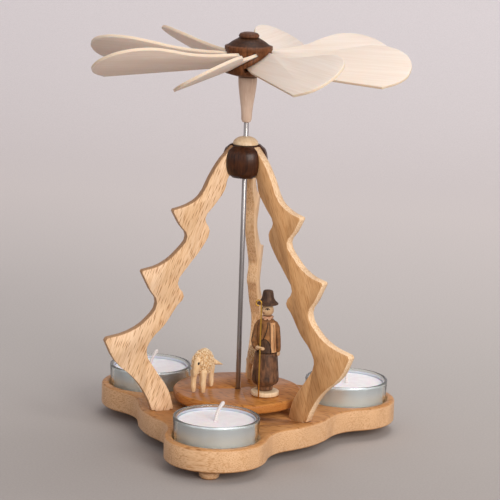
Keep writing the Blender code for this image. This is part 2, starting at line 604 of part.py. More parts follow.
def build_sheep(name, spot, parts, cutters, spin, fleece):
    half = Vector((SHEEP_LENGTH, SHEEP_WIDTH, SHEEP_DEPTH)) / 2
    stand = polar(TURNTABLE_RADIUS - spot["inset"], spot["azimuth"], TURNTABLE_TOP + FIT)
    animal = empty(name, parts, spin, stand, spot["heading"])
    middle = SHEEP_BACK_HEIGHT - half.z
    trunk = ball(name + "_body", half, 16, 10)
    place(trunk, parts, fleece, animal, (0, 0, middle))

    stride = 0.36 * SHEEP_LENGTH
    straddle = 0.24 * SHEEP_WIDTH
    share = 1 - (stride / half.x) ** 2 - (straddle / half.y) ** 2
    hip = middle - half.z * math.sqrt(share) + SHEEP_LEG_SOCKET
    corners = [(stride, straddle), (stride, -straddle), (-stride, straddle), (-stride, -straddle)]
    for i, (x, y) in enumerate(corners):
        label = "%s_leg_%d" % (name, i + 1)
        leg = peg(label, 0.85 * SHEEP_LEG_RADIUS, SHEEP_LEG_RADIUS, hip, 8)
        place(leg, parts, fleece, animal, (x, y, 0))
        wide = SHEEP_LEG_RADIUS + FIT
        cut(trunk, peg(label + "_socket", wide, wide, hip + FIT, 8), cutters, animal, (x, y, 0))

    clear = half + Vector((FIT, FIT, FIT))
    head = ball(name + "_head", (0.24 * SHEEP_WIDTH, 0.22 * SHEEP_WIDTH, 0.40 * SHEEP_DEPTH), 12, 8)
    place(head, parts, fleece, animal, (1.14 * half.x, 0, middle), (0, math.radians(-20), 0))
    cut(head, ball(name + "_neck_cut", clear, 16, 10), cutters, animal, (0, 0, middle))
    tail = peg(name + "_tail", 0.11 * SHEEP_WIDTH, 0.03 * SHEEP_WIDTH, 0.5 * SHEEP_WIDTH, 8)
    swing = math.radians(spot["tail"])
    base = (-0.92 * half.x * math.cos(swing), 0.92 * half.y * math.sin(swing), middle)
    place(tail, parts, fleece, animal, base, (0, math.radians(-95), -swing))
    cut(tail, ball(name + "_rump_cut", clear, 16, 10), cutters, animal, (0, 0, middle))


def main():
    clear_scene()
    parts = new_collection("christmas_pyramid")
    cutters = new_collection("cutters")

    beech = material("oiled_beech", (0.62, 0.34, 0.15), 0.45)
    birch = material("pale_birch", (0.80, 0.66, 0.48), 0.55)
    maple = material("turned_maple", (0.72, 0.52, 0.32), 0.5)
    walnut = material("stained_walnut", (0.055, 0.026, 0.014), 0.4)
    steel = material("bright_steel", (0.55, 0.55, 0.55), 0.25, metallic=1.0)
    brass = material("brass_wire", (0.75, 0.52, 0.18), 0.3, metallic=1.0)
    glass = material("clear_glass", (0.90, 0.96, 0.93), 0.03, transmission=1.0)
    tin = material("tealight_aluminium", (0.80, 0.80, 0.82), 0.3, metallic=1.0)
    paraffin = material("white_wax", (0.86, 0.84, 0.84), 0.5)
    cotton = material("waxed_wick", (0.88, 0.86, 0.82), 0.8)
    brown = material("brown_stain", (0.26, 0.11, 0.05), 0.55)
    skin = material("painted_face", (0.80, 0.62, 0.42), 0.5)
    fleece = material("carved_limewood", (0.78, 0.57, 0.32), 0.7)

    tip = build_base(parts, cutters, beech, steel)
    build_legs_and_head(parts, cutters, beech, walnut, maple)
    spin = empty("spin_axis", parts)
    build_spindle(parts, spin, tip, beech, steel)
    build_wheel(parts, cutters, spin, walnut, maple, birch)
    build_tealights(parts, glass, tin, paraffin, cotton)
    build_shepherd(parts, cutters, spin, walnut, brown, skin, maple, brass)
    build_sheep("front_sheep", FRONT_SHEEP, parts, cutters, spin, fleece)
    build_sheep("rear_sheep", REAR_SHEEP, parts, cutters, spin, fleece)


main()
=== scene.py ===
"""Looks of the tabletop Christmas pyramid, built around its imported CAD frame."""

from math import cos, pi, radians, sin, sqrt

import bmesh
import bpy
from mathutils import Matrix, Vector


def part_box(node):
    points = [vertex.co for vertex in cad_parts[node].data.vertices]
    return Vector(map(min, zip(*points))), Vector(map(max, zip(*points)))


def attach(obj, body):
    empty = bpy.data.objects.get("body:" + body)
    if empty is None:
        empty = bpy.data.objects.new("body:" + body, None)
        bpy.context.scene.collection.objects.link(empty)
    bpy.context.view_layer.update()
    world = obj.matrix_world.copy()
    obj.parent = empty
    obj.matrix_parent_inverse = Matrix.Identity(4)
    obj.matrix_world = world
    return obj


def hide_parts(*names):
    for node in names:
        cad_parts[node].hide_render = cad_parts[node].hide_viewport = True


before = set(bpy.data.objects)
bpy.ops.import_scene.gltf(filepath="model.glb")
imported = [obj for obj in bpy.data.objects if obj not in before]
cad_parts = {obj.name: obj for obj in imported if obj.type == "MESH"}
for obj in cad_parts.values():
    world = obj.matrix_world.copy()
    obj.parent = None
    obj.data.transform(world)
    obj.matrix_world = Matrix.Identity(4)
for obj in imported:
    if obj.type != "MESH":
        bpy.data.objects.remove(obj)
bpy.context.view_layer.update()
MM = 0.001
SIDES = ("front", "left", "right")
LEG_AZIMUTHS = {"left": -150.0, "right": -30.0, "back": 90.0}

# The way each figure faces on the turntable, in degrees, as in the part
SHEPHERD_TURN = -7.0
FRONT_SHEEP_HEADING = -96.0
REAR_SHEEP_HEADING = -58.0
# In the shepherd's own frame: the way to the viewer, the face's turn from it, and each eye's from the nose
VIEW_FRONT = -73.5
FACE_TURN = -40.0
EYE_TURN = 40.0
# Radius of the shepherd's ball head, in millimetres
HEAD_BALL = 3.35
# The sheep look a little to their right, with the muzzle forward
HEAD_TURN = -32.0
HEAD_TILT = -12.0

# Blades, as in the part
BLADE_COUNT = 8
BLADE_PHASE = -9.4
BLADE_PITCH = radians(30.0)
BLADE_ROOT = 7.5 * MM
BLADE_REACH = 87.7 * MM
BLADE_THICK = 1.6 * MM
BLADE_RISE = 20.3 * MM
BLADE_DROP = 14.2 * MM
BLADE_HEEL = 8.0 * MM
BLADE_NECK = 8.9 * MM

# How much wider in radius the tealight is drawn than its solid, since it fills its thin glass
TIN_FILL = 1.3 * MM
# The wick's run in millimetres, across and up from the wax, its radii, and how far each one leans
WICK_RUN = ((-0.6, -0.3), (-0.2, 2.0), (0.5, 4.6), (1.7, 7.2), (3.2, 9.6))
WICK_RADII = (0.9, 0.82, 0.8, 0.86, 1.05)
WICK_LEAN = {"front": 1.0, "left": 1.0, "right": -0.2}

# The camera: what it looks at, its place round from -Y and up in degrees, its distance in metres, its small
# turns off that aim, and its focal length in pixels of a picture of this width
LEG_FOOT_LEVEL = 0.0178
AIM = Vector((0.0, 0.0, 0.084 + LEG_FOOT_LEVEL))
VIEW_AZIMUTH = 9.5439
VIEW_HEIGHT = 12.0244
VIEW_DISTANCE = 1.3
VIEW_YAW = 0.1818
VIEW_PITCH = 0.0434
VIEW_ROLL = 1.8495
VIEW_FOCAL = 2442.32
PICTURE_WIDTH = 500.0
SENSOR_WIDTH = 36.0
# Square lamps: degrees round from +X and up, metres away, metres wide, watts and colour
LAMPS = {
    "key": (-52.0, 22.0, 1.5, 0.8, 17.4, "#fffdf9"),
    "fill": (-120.0, 30.0, 1.6, 1.6, 3.3, "#fbfcff"),
    "top": (60.0, 76.0, 1.6, 0.9, 8.2, "#fdfeff"),
}
# The room's strength as light, and as it shows to the eye and in glass and metal
ROOM_LIGHT = 0.53
ROOM_SHOWN = 1.0
# The paper lies flat to this far behind, then bends up with this radius
PAPER_FLAT = 0.8
PAPER_BEND = 0.9

# Cells of ray fleck per metre across and along the grain, on a rift-sawn and on a flat-sawn board
RIFT = (900.0, 82.0)
FLAT_SAWN = (400.0, 100.0)
# How a flat-sawn board is leant, and the way its faces look
LYING = (-90.0, 0.0, 0.0)
UPRIGHT = (0.0, 0.0, 1.0)
# Light and dark of the ground, flecks and edges of each leg, and how strongly its flecks show. The legs are
# lit
# and shaded copies of one beech: the right leg's darker ground is painted shade and its pale edges painted
# light, the back leg's paler ground is painted light, and the left leg's darker edges are painted shade
LEG_LIT_TONES = {
    "left": ("#f0cca8", "#e8c096", "#a06a38", "#bd8f63"),
    "right": ("#d4a473", "#cd9b68", "#9e6a36", "#fadcb8"),
    "back": ("#f4cfa6", "#e6ba8a", "#b88654", "#e8c196"),
}
FLECKS = {"left": 0.88, "right": 0.55, "back": 0.4}


def srgb(code):
    """A hex colour as linear RGBA."""
    parts = [int(code[i:i + 2], 16) / 255 for i in (1, 3, 5)]
    return tuple(c / 12.92 if c <= 0.04045 else ((c + 0.055) / 1.055) ** 2.4 for c in parts) + (1.0,)


def feed(tree, made, inputs):
    """Links each input that is given a node or a socket, and sets any other; colours are hex."""
    for key, value in inputs.items():
        named = [socket for socket in made.inputs if socket.enabled and socket.name == key]
        socket = named[0] if named else made.inputs[key]
        if isinstance(value, bpy.types.Node):
            value = next(out for out in value.outputs if out.enabled)
        if isinstance(value, bpy.types.NodeSocket):
            tree.links.new(value, socket)
        else:
            socket.default_value = srgb(value) if socket.type == "RGBA" else value


def node(tree, kind, inputs=None, stops=(), **settings):
    """A node with its settings and inputs, and a ramp's stops of (place, colour)."""
    made = tree.nodes.new(kind)
    for key, value in settings.items():
        setattr(made, key, value)
    for i, (place, colour) in enumerate(stops):
        elements = made.color_ramp.elements
        element = elements[i] if i < len(elements) else elements.new(place)
        element.position = place
        element.color = srgb(colour)
    feed(tree, made, inputs or {})
    return made


def new_finish(name, **inputs):
    """A material with a Principled shader whose inputs are set by name."""
    mat = bpy.data.materials.new(name)
    mat.use_nodes = True
    shader = mat.node_tree.nodes["Principled BSDF"]
    feed(mat.node_tree, shader, {key.replace("_", " "): value for key, value in inputs.items()})
    return mat, mat.node_tree, shader


def beech(name, turn, lean, tones, face, strength, roughness=0.5, specular=0.28, rays=RIFT):
    """Oiled beech: a warm, even ground with short brown ray flecks along the grain and edges of another tone.

    The tones are the ground's light and dark, the flecks' and the sawn edges'; on the legs and the base they
    also paint light and shade, with the edge tone standing for the light the edges catch.  The board is
    turned about Z and then leant, so that its grain runs along Z and its thickness along Y.  The edges are
    what doesn't look along face.  Flecks fill 0.4 of a cell each way, with rays as the cells per metre;
    growth bands are about 9 mm wide, and pores 0.45 mm.
    """
    light, dark, fleck, edge = tones
    mat, tree, shader = new_finish(name, Roughness=roughness, Specular_IOR_Level=specular)
    place = node(tree, "ShaderNodeTexCoord").outputs["Object"]
    flat = node(tree, "ShaderNodeMapping", {"Vector": place, "Rotation": (0.0, 0.0, radians(turn))})
    board = node(tree, "ShaderNodeMapping", {"Vector": flat, "Rotation": [radians(d) for d in lean]})
    bands = node(tree, "ShaderNodeMapping", {"Vector": board, "Scale": (110.0, 110.0, 9.0)})
    growth = node(tree, "ShaderNodeTexNoise", {
        "Vector": bands, "Scale": 1.0, "Detail": 4.0, "Distortion": 0.5})
    ground = node(tree, "ShaderNodeValToRGB", {"Fac": growth}, [(0.3, dark), (0.68, light)])
    normal = node(tree, "ShaderNodeNewGeometry").outputs["Normal"]
    along = node(tree, "ShaderNodeVectorMath", {0: normal, 1: face}, operation="DOT_PRODUCT")
    flush = node(tree, "ShaderNodeMath", {0: along}, operation="ABSOLUTE")
    sawn = node(tree, "ShaderNodeMapRange", {"Value": flush, "From Min": 0.8, "From Max": 0.3, "To Max": 0.8})
    # Painted light and shade: the sawn edges take the edge tone, set for the light they catch on each board
    body = node(tree, "ShaderNodeMix", {"Factor": sawn, "A": ground, "B": edge}, data_type="RGBA")
    dashes = node(tree, "ShaderNodeMapping", {
        "Vector": board, "Scale": (rays[0], 1.0, rays[1]), "Rotation": (pi / 2, 0.0, 0.0)})
    cells = node(tree, "ShaderNodeTexVoronoi", {"Vector": dashes, "Scale": 1.0}, voronoi_dimensions="2D")
    mask = node(tree, "ShaderNodeMapRange", {
        "Value": cells, "From Min": 0.09, "From Max": 0.2, "To Min": strength, "To Max": 0.0})
    faint = node(tree, "ShaderNodeMath", {0: sawn, 1: -1.2, 2: 1.0}, operation="MULTIPLY_ADD")
    share = node(tree, "ShaderNodeMath", {0: mask, 1: faint}, operation="MULTIPLY")
    tint = node(tree, "ShaderNodeMix", {"Factor": share, "A": body, "B": fleck}, data_type="RGBA")
    pores = node(tree, "ShaderNodeMapping", {"Vector": board, "Scale": (2200.0, 2200.0, 160.0)})
    fine = node(tree, "ShaderNodeTexNoise", {"Vector": pores, "Scale": 1.0, "Detail": 2.0})
    hollow = node(tree, "ShaderNodeMapRange", {"Value": fine, "From Min": 0.54, "From Max": 0.36})
    depth = node(tree, "ShaderNodeMix", {"Factor": sawn, "A": "#ece2d6", "B": "#dcc8ae"}, data_type="RGBA")
    grain = node(tree, "ShaderNodeMix", {"Factor": hollow, "A": tint, "B": depth},
                 data_type="RGBA", blend_type="MULTIPLY")
    bump = node(tree, "ShaderNodeBump", {"Height": fine, "Strength": 0.12, "Distance": 0.2 * MM})
    feed(tree, shader, {"Base Color": grain, "Normal": bump})
    return mat


def leg_beech(side):
    """Oiled beech of one leg, board along its azimuth, grain up the slope, tones with painted light and
    shade.
    """
    azimuth = LEG_AZIMUTHS[side]
    a = radians(azimuth)
    return beech("oiled beech, %s leg" % side, -azimuth, (0.0, 20.0, 0.0), LEG_LIT_TONES[side],
                 (-sin(a), cos(a), 0.0), FLECKS[side])


def turned_wood(name, light, dark, roughness, specular=0.5, painted_top_shade=None):
    """Lathe-turned wood: upright grain streaks 0.8 mm wide over slow changes of tone, and fine tool rings.

    A last (level, colour) paints shade: above that level the colour multiplies the wood darker.
    """
    mat, tree, shader = new_finish(name, Roughness=roughness, Specular_IOR_Level=specular)
    place = node(tree, "ShaderNodeTexCoord").outputs["Object"]
    lines = node(tree, "ShaderNodeMapping", {"Vector": place, "Scale": (900.0, 900.0, 70.0)})
    grain = node(tree, "ShaderNodeTexNoise", {
        "Vector": lines, "Scale": 1.0, "Detail": 3.0, "Distortion": 0.5})
    tone = node(tree, "ShaderNodeTexNoise", {"Vector": place, "Scale": 220.0, "Detail": 2.0})
    both = node(tree, "ShaderNodeMix", {"Factor": 0.35, "A": grain, "B": tone})
    colour = node(tree, "ShaderNodeValToRGB", {"Fac": both}, [(0.34, dark), (0.66, light)])
    if painted_top_shade:
        # Painted shade: above the level the colour multiplies the wood darker, on a top the low light barely
        # reaches
        level, stain = painted_top_shade
        height = node(tree, "ShaderNodeSeparateXYZ", {"Vector": place}).outputs["Z"]
        above = node(tree, "ShaderNodeMapRange", {
            "Value": height, "From Min": level - 0.2 * MM, "From Max": level})
        colour = node(tree, "ShaderNodeMix", {"Factor": above, "A": colour, "B": stain},
                      data_type="RGBA", blend_type="MULTIPLY")
    rings = node(tree, "ShaderNodeMapping", {"Vector": place, "Scale": (60.0, 60.0, 2400.0)})
    tool = node(tree, "ShaderNodeTexNoise", {"Vector": rings, "Scale": 1.0, "Detail": 1.0})
    bump = node(tree, "ShaderNodeBump", {"Height": tool, "Strength": 0.1, "Distance": 0.2 * MM})
    feed(tree, shader, {"Base Color": colour, "Normal": bump})
    return mat


def birch_veneer():
    """Raw birch veneer: nearly white, with straight grain 0.7 mm apart along the blade and browner edges.

    Some light passes through the 1.6 mm blades and warms their undersides.  Each blade carries its own flat
    coordinates and its number, so that no two show the same figure.
    """
    mat, tree, shader = new_finish(
        "raw birch veneer", Roughness=0.62, Specular_IOR_Level=0.25, Subsurface_Weight=0.6,
        Subsurface_Scale=2.5 * MM, Subsurface_Radius=(1.0, 0.7, 0.5))
    flat = node(tree, "ShaderNodeAttribute", attribute_name="grain").outputs["Vector"]
    number = node(tree, "ShaderNodeAttribute", attribute_name="blade").outputs["Fac"]
    shift = node(tree, "ShaderNodeCombineXYZ", {"Z": number})
    board = node(tree, "ShaderNodeVectorMath", {0: flat, 1: shift}, operation="ADD")
    lines = node(tree, "ShaderNodeMapping", {"Vector": board, "Scale": (34.0, 1250.0, 1.0)})
    grain = node(tree, "ShaderNodeTexNoise", {"Vector": lines, "Scale": 1.0, "Detail": 3.0})
    wide = node(tree, "ShaderNodeMapping", {"Vector": board, "Scale": (16.0, 210.0, 1.0)})
    figure = node(tree, "ShaderNodeTexNoise", {
        "Vector": wide, "Scale": 1.0, "Detail": 2.0, "Distortion": 0.8})
    both = node(tree, "ShaderNodeMix", {"Factor": 0.45, "A": grain, "B": figure})
    colour = node(tree, "ShaderNodeValToRGB", {"Fac": both}, [
        (0.3, "#dccbbc"), (0.5, "#e2d4c7"), (0.7, "#e7dbd0")])
    through = node(tree, "ShaderNodeSeparateXYZ", {"Vector": flat}).outputs["Z"]
    depth = node(tree, "ShaderNodeMath", {0: through}, operation="ABSOLUTE")
    rim = node(tree, "ShaderNodeMapRange", {"Value": depth, "From Min": 0.76 * MM, "From Max": 0.6 * MM})
    sawn = node(tree, "ShaderNodeMix", {"Factor": rim, "A": colour, "B": "#dfcbb6"}, data_type="RGBA")
    bump = node(tree, "ShaderNodeBump", {"Height": grain, "Strength": 0.08, "Distance": 0.2 * MM})
    feed(tree, shader, {"Base Color": sawn, "Normal": bump})
    return mat


def drawn_metal(name, colour, roughness, draw, metallic=1.0, foot=None):
    """Drawn or pressed metal: fine lines along the draw give a streaked sheen; a dull skin is less metallic.

    A foot of (low, high, colour) is a painted highlight: between the levels the colour grades brighter
    downward.
    """
    mat, tree, shader = new_finish(name, Metallic=metallic, Base_Color=colour)
    place = node(tree, "ShaderNodeTexCoord").outputs["Object"]
    if foot:
        # Painted highlight: the metal is brighter towards the bottom, for the front light the lower wall
        # reflects
        low, high, bright = foot
        height = node(tree, "ShaderNodeSeparateXYZ", {"Vector": place}).outputs["Z"]
        rise = node(tree, "ShaderNodeMapRange", {"Value": height, "From Min": low, "From Max": high})
        tone = node(tree, "ShaderNodeValToRGB", {"Fac": rise}, [(0.0, bright), (1.0, colour)])
        feed(tree, shader, {"Base Color": tone})
    lines = node(tree, "ShaderNodeMapping", {"Vector": place, "Scale": draw})
    streak = node(tree, "ShaderNodeTexNoise", {"Vector": lines, "Scale": 1.0, "Detail": 2.0})
    rough = node(tree, "ShaderNodeMapRange", {
        "Value": streak, "To Min": roughness * 0.75, "To Max": roughness * 1.35})
    bump = node(tree, "ShaderNodeBump", {"Height": streak, "Strength": 0.05, "Distance": 0.1 * MM})
    feed(tree, shader, {"Roughness": rough, "Normal": bump})
    return mat


def pressed_glass():
    """Pressed soda-lime glass: clear with a faint mould ripple; its rim is less clear, pale green painted
    light.
    """
    mat, tree, shader = new_finish("pressed soda-lime glass", Roughness=0.02, IOR=1.45, Base_Color="#f8fdfa")
    place = node(tree, "ShaderNodeTexCoord").outputs["Object"]
    height = node(tree, "ShaderNodeSeparateXYZ", {"Vector": place}).outputs["Z"]
    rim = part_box("glass_cup_front")[1].z
    # Painted light: near the rim less light passes, so the rim shows the glass's pale green colour and looks
    # lit
    clear = node(tree, "ShaderNodeMapRange", {
        "Value": height, "From Min": rim - 2.4 * MM, "From Max": rim - MM, "To Min": 1.0, "To Max": 0.92})
    ripple = node(tree, "ShaderNodeTexNoise", {"Vector": place, "Scale": 160.0, "Detail": 1.0})
    bump = node(tree, "ShaderNodeBump", {"Height": ripple, "Strength": 0.04, "Distance": 0.4 * MM})
    feed(tree, shader, {"Transmission Weight": clear, "Normal": bump})
    return mat


def paraffin():
    """Paraffin wax: white, faintly mottled, soft light below its surface and a waxy sheen."""
    mat, tree, shader = new_finish(
        "white paraffin wax", Roughness=0.42, IOR=1.44, Subsurface_Weight=0.35, Subsurface_Scale=4.0 * MM)
    place = node(tree, "ShaderNodeTexCoord").outputs["Object"]
    mottle = node(tree, "ShaderNodeTexNoise", {"Vector": place, "Scale": 260.0, "Detail": 3.0})
    colour = node(tree, "ShaderNodeValToRGB", {"Fac": mottle}, [(0.35, "#f6f0f4"), (0.65, "#fcf8fb")])
    bump = node(tree, "ShaderNodeBump", {"Height": mottle, "Strength": 0.05, "Distance": 0.4 * MM})
    feed(tree, shader, {"Base Color": colour, "Normal": bump})
    return mat


def cotton():
    """Braided cotton soaked in wax: matt white with a 0.5 mm braid."""
    mat, tree, shader = new_finish("waxed cotton braid", Roughness=0.8)
    place = node(tree, "ShaderNodeTexCoord").outputs["Object"]
    braid = node(tree, "ShaderNodeTexVoronoi", {"Vector": place, "Scale": 1900.0})
    colour = node(tree, "ShaderNodeValToRGB", {"Fac": braid}, [(0.1, "#f2ecea"), (0.8, "#d5cbc6")])
    bump = node(tree, "ShaderNodeBump", {"Height": braid, "Strength": 0.4, "Distance": 0.3 * MM})
    feed(tree, shader, {"Base Color": colour, "Normal": bump})
    return mat


def rubbed_stain(name, light, dark, roughness=0.6, streak=700.0):
    """Stain on small turned wood, rubbed back: dark in the grain, lighter where worn, in upright streaks."""
    mat, tree, shader = new_finish(name, Roughness=roughness, Specular_IOR_Level=0.35)
    place = node(tree, "ShaderNodeTexCoord").outputs["Object"]
    lines = node(tree, "ShaderNodeMapping", {"Vector": place, "Scale": (streak, streak, 130.0)})
    grain = node(tree, "ShaderNodeTexNoise", {
        "Vector": lines, "Scale": 1.0, "Detail": 4.0, "Distortion": 0.9})
    wear = node(tree, "ShaderNodeTexNoise", {"Vector": place, "Scale": 300.0, "Detail": 2.0})
    both = node(tree, "ShaderNodeMix", {"Factor": 0.4, "A": grain, "B": wear})
    colour = node(tree, "ShaderNodeValToRGB", {"Fac": both}, [(0.36, dark), (0.66, light)])
    bump = node(tree, "ShaderNodeBump", {"Height": grain, "Strength": 0.2, "Distance": 0.2 * MM})
    feed(tree, shader, {"Base Color": colour, "Normal": bump})
    return mat


def curled_lime():
    """Curled lime shavings: pale curls over a body painted darker and warmer, as the shade in the hollows."""
    mat, tree, shader = new_finish("curled lime shavings", Roughness=0.65, Specular_IOR_Level=0.3)
    tip = node(tree, "ShaderNodeAttribute", attribute_name="curl").outputs["Fac"]
    place = node(tree, "ShaderNodeTexCoord").outputs["Object"]
    tone = node(tree, "ShaderNodeTexNoise", {"Vector": place, "Scale": 900.0, "Detail": 2.0})
    pale = node(tree, "ShaderNodeValToRGB", {"Fac": tone}, [(0.35, "#e3c093"), (0.6, "#f5dfbd")])
    # Painted shade: the body between the curls takes a darker, warmer colour for the shade in the hollows
    painted_hollow_shade = node(tree, "ShaderNodeValToRGB", {"Fac": tone}, [(0.35, "#b98c58"), (0.65, "#d8b080")])
    colour = node(tree, "ShaderNodeMix", {"Factor": tip, "A": painted_hollow_shade, "B": pale}, data_type="RGBA")
    feed(tree, shader, {"Base Color": colour})
    return mat


def studio_paper():
    """Matt grey paper: faint fibres, and painted light, a tone that pales from the front to the back."""
    mat, tree, shader = new_finish("grey studio paper", Roughness=0.9, Specular_IOR_Level=0.1)
    place = node(tree, "ShaderNodeTexCoord").outputs["Object"]
    away = node(tree, "ShaderNodeSeparateXYZ", {"Vector": place}).outputs["Y"]
    far = node(tree, "ShaderNodeMapRange", {"Value": away, "From Min": -0.3, "From Max": 1.5})
    # Painted light: the paper's tone pales towards the back, for the light falling on it
    tone = node(tree, "ShaderNodeValToRGB", {"Fac": far}, [
        (0.1, "#a8a19d"), (0.26, "#bfb9b5"), (0.53, "#e2dad7"), (0.84, "#f4edee")])
    fibre = node(tree, "ShaderNodeTexNoise", {"Vector": place, "Scale": 900.0, "Detail": 2.0})
    speck = node(tree, "ShaderNodeValToRGB", {"Fac": fibre}, [(0.3, "#f6f6f6"), (0.7, "#ffffff")])
    grey = node(tree, "ShaderNodeMix", {"Factor": 1.0, "A": tone, "B": speck},
                data_type="RGBA", blend_type="MULTIPLY")
    feed(tree, shader, {"Base Color": grey})
    return mat


leg_finish = {side: leg_beech(side) for side in LEG_AZIMUTHS}
# The base's pale edge tone is painted light: its edges show lighter than its top for the low front light
base_finish = beech("oiled beech, base", 102.0, LYING, ("#c8925c", "#b57d48", "#8f5a28", "#e6bd94"), UPRIGHT,
                    0.95, 0.42, rays=FLAT_SAWN)
disc_finish = beech("lacquered beech, turntable", 115.0, LYING, ("#c88847", "#b07034", "#834e1f", "#b9793f"),
                    UPRIGHT, 0.95, 0.28, 0.1, FLAT_SAWN)
# Painted shade darkens the low cone over the hub's band, a top the low light barely reaches
HUB_CONE_HEIGHT = 3.6 * MM
walnut = turned_wood("walnut-stained wood, head", "#4f2c18", "#1c0b05", 0.3, 0.22)
hub_walnut = turned_wood("walnut-stained wood, hub", "#7d4c2d", "#3f220f", 0.44, 0.15,
                         (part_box("hub")[1].z - HUB_CONE_HEIGHT, "#9a9c9e"))
knob_walnut = turned_wood("walnut-stained wood, button", "#6b412b", "#341b0d", 0.4, 0.2)
maple = turned_wood("turned maple, cap", "#ecd2b0", "#d9b78d", 0.5)
sleeve_maple = turned_wood("turned maple, sleeve", "#e8cdb8", "#d3b199", 0.5)
veneer = birch_veneer()
steel = drawn_metal("drawn bright steel", "#9d9998", 0.28, (2500.0, 2500.0, 60.0), 0.95)
brass = drawn_metal("drawn brass wire", "#c99a45", 0.3, (2500.0, 2500.0, 200.0))
# The tin grades paler and bluer below 25 mm: a painted highlight of the front light on its lower wall
aluminium = drawn_metal("pressed aluminium", "#dadee7", 0.34, (500.0, 500.0, 60.0), 0.83,
                        (19.0 * MM, 25.0 * MM, "#f2f7ff"))
glass = pressed_glass()
wax = paraffin()
wick_cotton = cotton()
felt_brown = rubbed_stain("dark brown stain, hat", "#5f4029", "#2a1810")
gown_brown = rubbed_stain("worn brown stain, gown", "#83583a", "#321d0f")
coat_brown = rubbed_stain("worn tan stain, jacket", "#9e6a3b", "#523218")
vest_wood = rubbed_stain("bare lime wood, waistcoat", "#d9a878", "#b57f52", 0.55, 500.0)
face_wood = rubbed_stain("bare lime wood, face and hands", "#d2b08a", "#b98f66", 0.5, 300.0)
scarf_wood = rubbed_stain("russet stain, scarf", "#dcb594", "#a5694a", 0.55, 900.0)
ink = rubbed_stain("burnt line", "#2a1a12", "#120b07", 0.6)
mouth_red = rubbed_stain("red-brown stain, mouth", "#7a3524", "#5a2216", 0.5)
lime_wood = rubbed_stain("carved lime wood", "#f0d4ad", "#d8ae7d", 0.6, 500.0)
fleece_wood = curled_lime()


def link(name, data):
    """An object in the scene."""
    obj = bpy.data.objects.new(name, data)
    bpy.context.scene.collection.objects.link(obj)
    return obj


def bake(obj):
    """The finished mesh of an object with its modifiers; the object goes."""
    bpy.context.view_layer.update()
    graph = bpy.context.evaluated_depsgraph_get()
    mesh = bpy.data.meshes.new_from_object(
        obj.evaluated_get(graph), preserve_all_data_layers=True, depsgraph=graph)
    bpy.data.objects.remove(obj, do_unlink=True)
    return mesh


def piece(name, mesh, mat, body, nodes=(), sharp=35.0):
    """A finished piece that rides on a body and stands for CAD nodes."""
    mesh.materials.clear()
    mesh.materials.append(mat)
    mesh.shade_smooth()
    mesh.set_sharp_from_angle(angle=radians(sharp))
    obj = link(name, mesh)
    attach(obj, body)
    if nodes:
        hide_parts(*nodes)
    return obj


def mesh_of(name, bm, outward=False):
    """A new mesh from a bmesh, which goes, with its faces turned outward if asked."""
    if outward:
        bmesh.ops.recalc_face_normals(bm, faces=bm.faces)
    mesh = bpy.data.meshes.new(name)
    bm.to_mesh(mesh)
    bm.free()
    return mesh


def simplified(mesh):
    """A bmesh of a mesh with its double points merged and its flat faces joined."""
    bm = bmesh.new()
    bm.from_mesh(mesh)
    bmesh.ops.remove_doubles(bm, verts=bm.verts, dist=0.002 * MM)
    bmesh.ops.dissolve_limit(bm, angle_limit=radians(0.6), verts=bm.verts, edges=bm.edges)
    return bm


def bevelled(name, mesh, width, angle, harden=False):
    """A mesh with those edges eased, by a width in millimetres, that turn by more than an angle."""
    obj = link(name, mesh)
    bevel = obj.modifiers.new("ease", "BEVEL")
    bevel.width = width * MM
    bevel.segments = 2
    bevel.limit_method = "ANGLE"
    bevel.angle_limit = radians(angle)
    bevel.harden_normals = harden
    return bake(obj)


def eased(name, cad, mat, body, width, angle=35.0):
    """A CAD solid with its edges eased, as sandpaper or a mould leaves them."""
    mesh = mesh_of(name, simplified(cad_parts[cad].data))
    if "custom_normal" in mesh.attributes:
        mesh.attributes.remove(mesh.attributes["custom_normal"])
    mesh.shade_smooth()
    piece(name, bevelled(name, mesh, width, angle, True), mat, body, (cad,), 50.0)


def rounded(points, radius, count=4):
    """A run of (r, z) points with its inner corners rounded."""
    pts = [Vector(p) for p in points]
    out = [pts[0]]
    for before, here, after in zip(pts, pts[1:], pts[2:]):
        reach = min(radius, (before - here).length / 2.1, (after - here).length / 2.1)
        start = here + (before - here).normalized() * reach
        end = here + (after - here).normalized() * reach
        for i in range(count + 1):
            t = i / count
            out.append(start * (1 - t) ** 2 + here * 2 * t * (1 - t) + end * t ** 2)
    out.append(pts[-1])
    return out


def lathe(name, profile, steps=72, centre=(0.0, 0.0), closed=False):
    """A run of (r, z) points swept round an upright axis; points on the axis become poles."""
    x, y = centre
    turns = [2 * pi * i / steps for i in range(steps)]
    bm = bmesh.new()
    rings = []
    for r, z in profile:
        if r < 1e-7:
            rings.append([bm.verts.new((x, y, z))])
        else:
            rings.append([bm.verts.new((x + r * cos(a), y + r * sin(a), z)) for a in turns])
    pairs = list(zip(rings, rings[1:]))
    if closed:
        pairs.append((rings[-1], rings[0]))
    for upper, lower in pairs:
        for i in range(steps):
            j = (i + 1) % steps
            corners = list(dict.fromkeys((upper[i % len(upper)], lower[i % len(lower)],
                                          lower[j % len(lower)], upper[j % len(upper)])))
            if len(corners) > 2:
                bm.faces.new(corners)
    return mesh_of(name, bm, True)


def turned(name, points, ease, steps=48):
    """A turned shape from (r, z) points, with its corners eased, all in millimetres."""
    return lathe(name, rounded([(r * MM, z * MM) for r, z in points], ease * MM), steps)


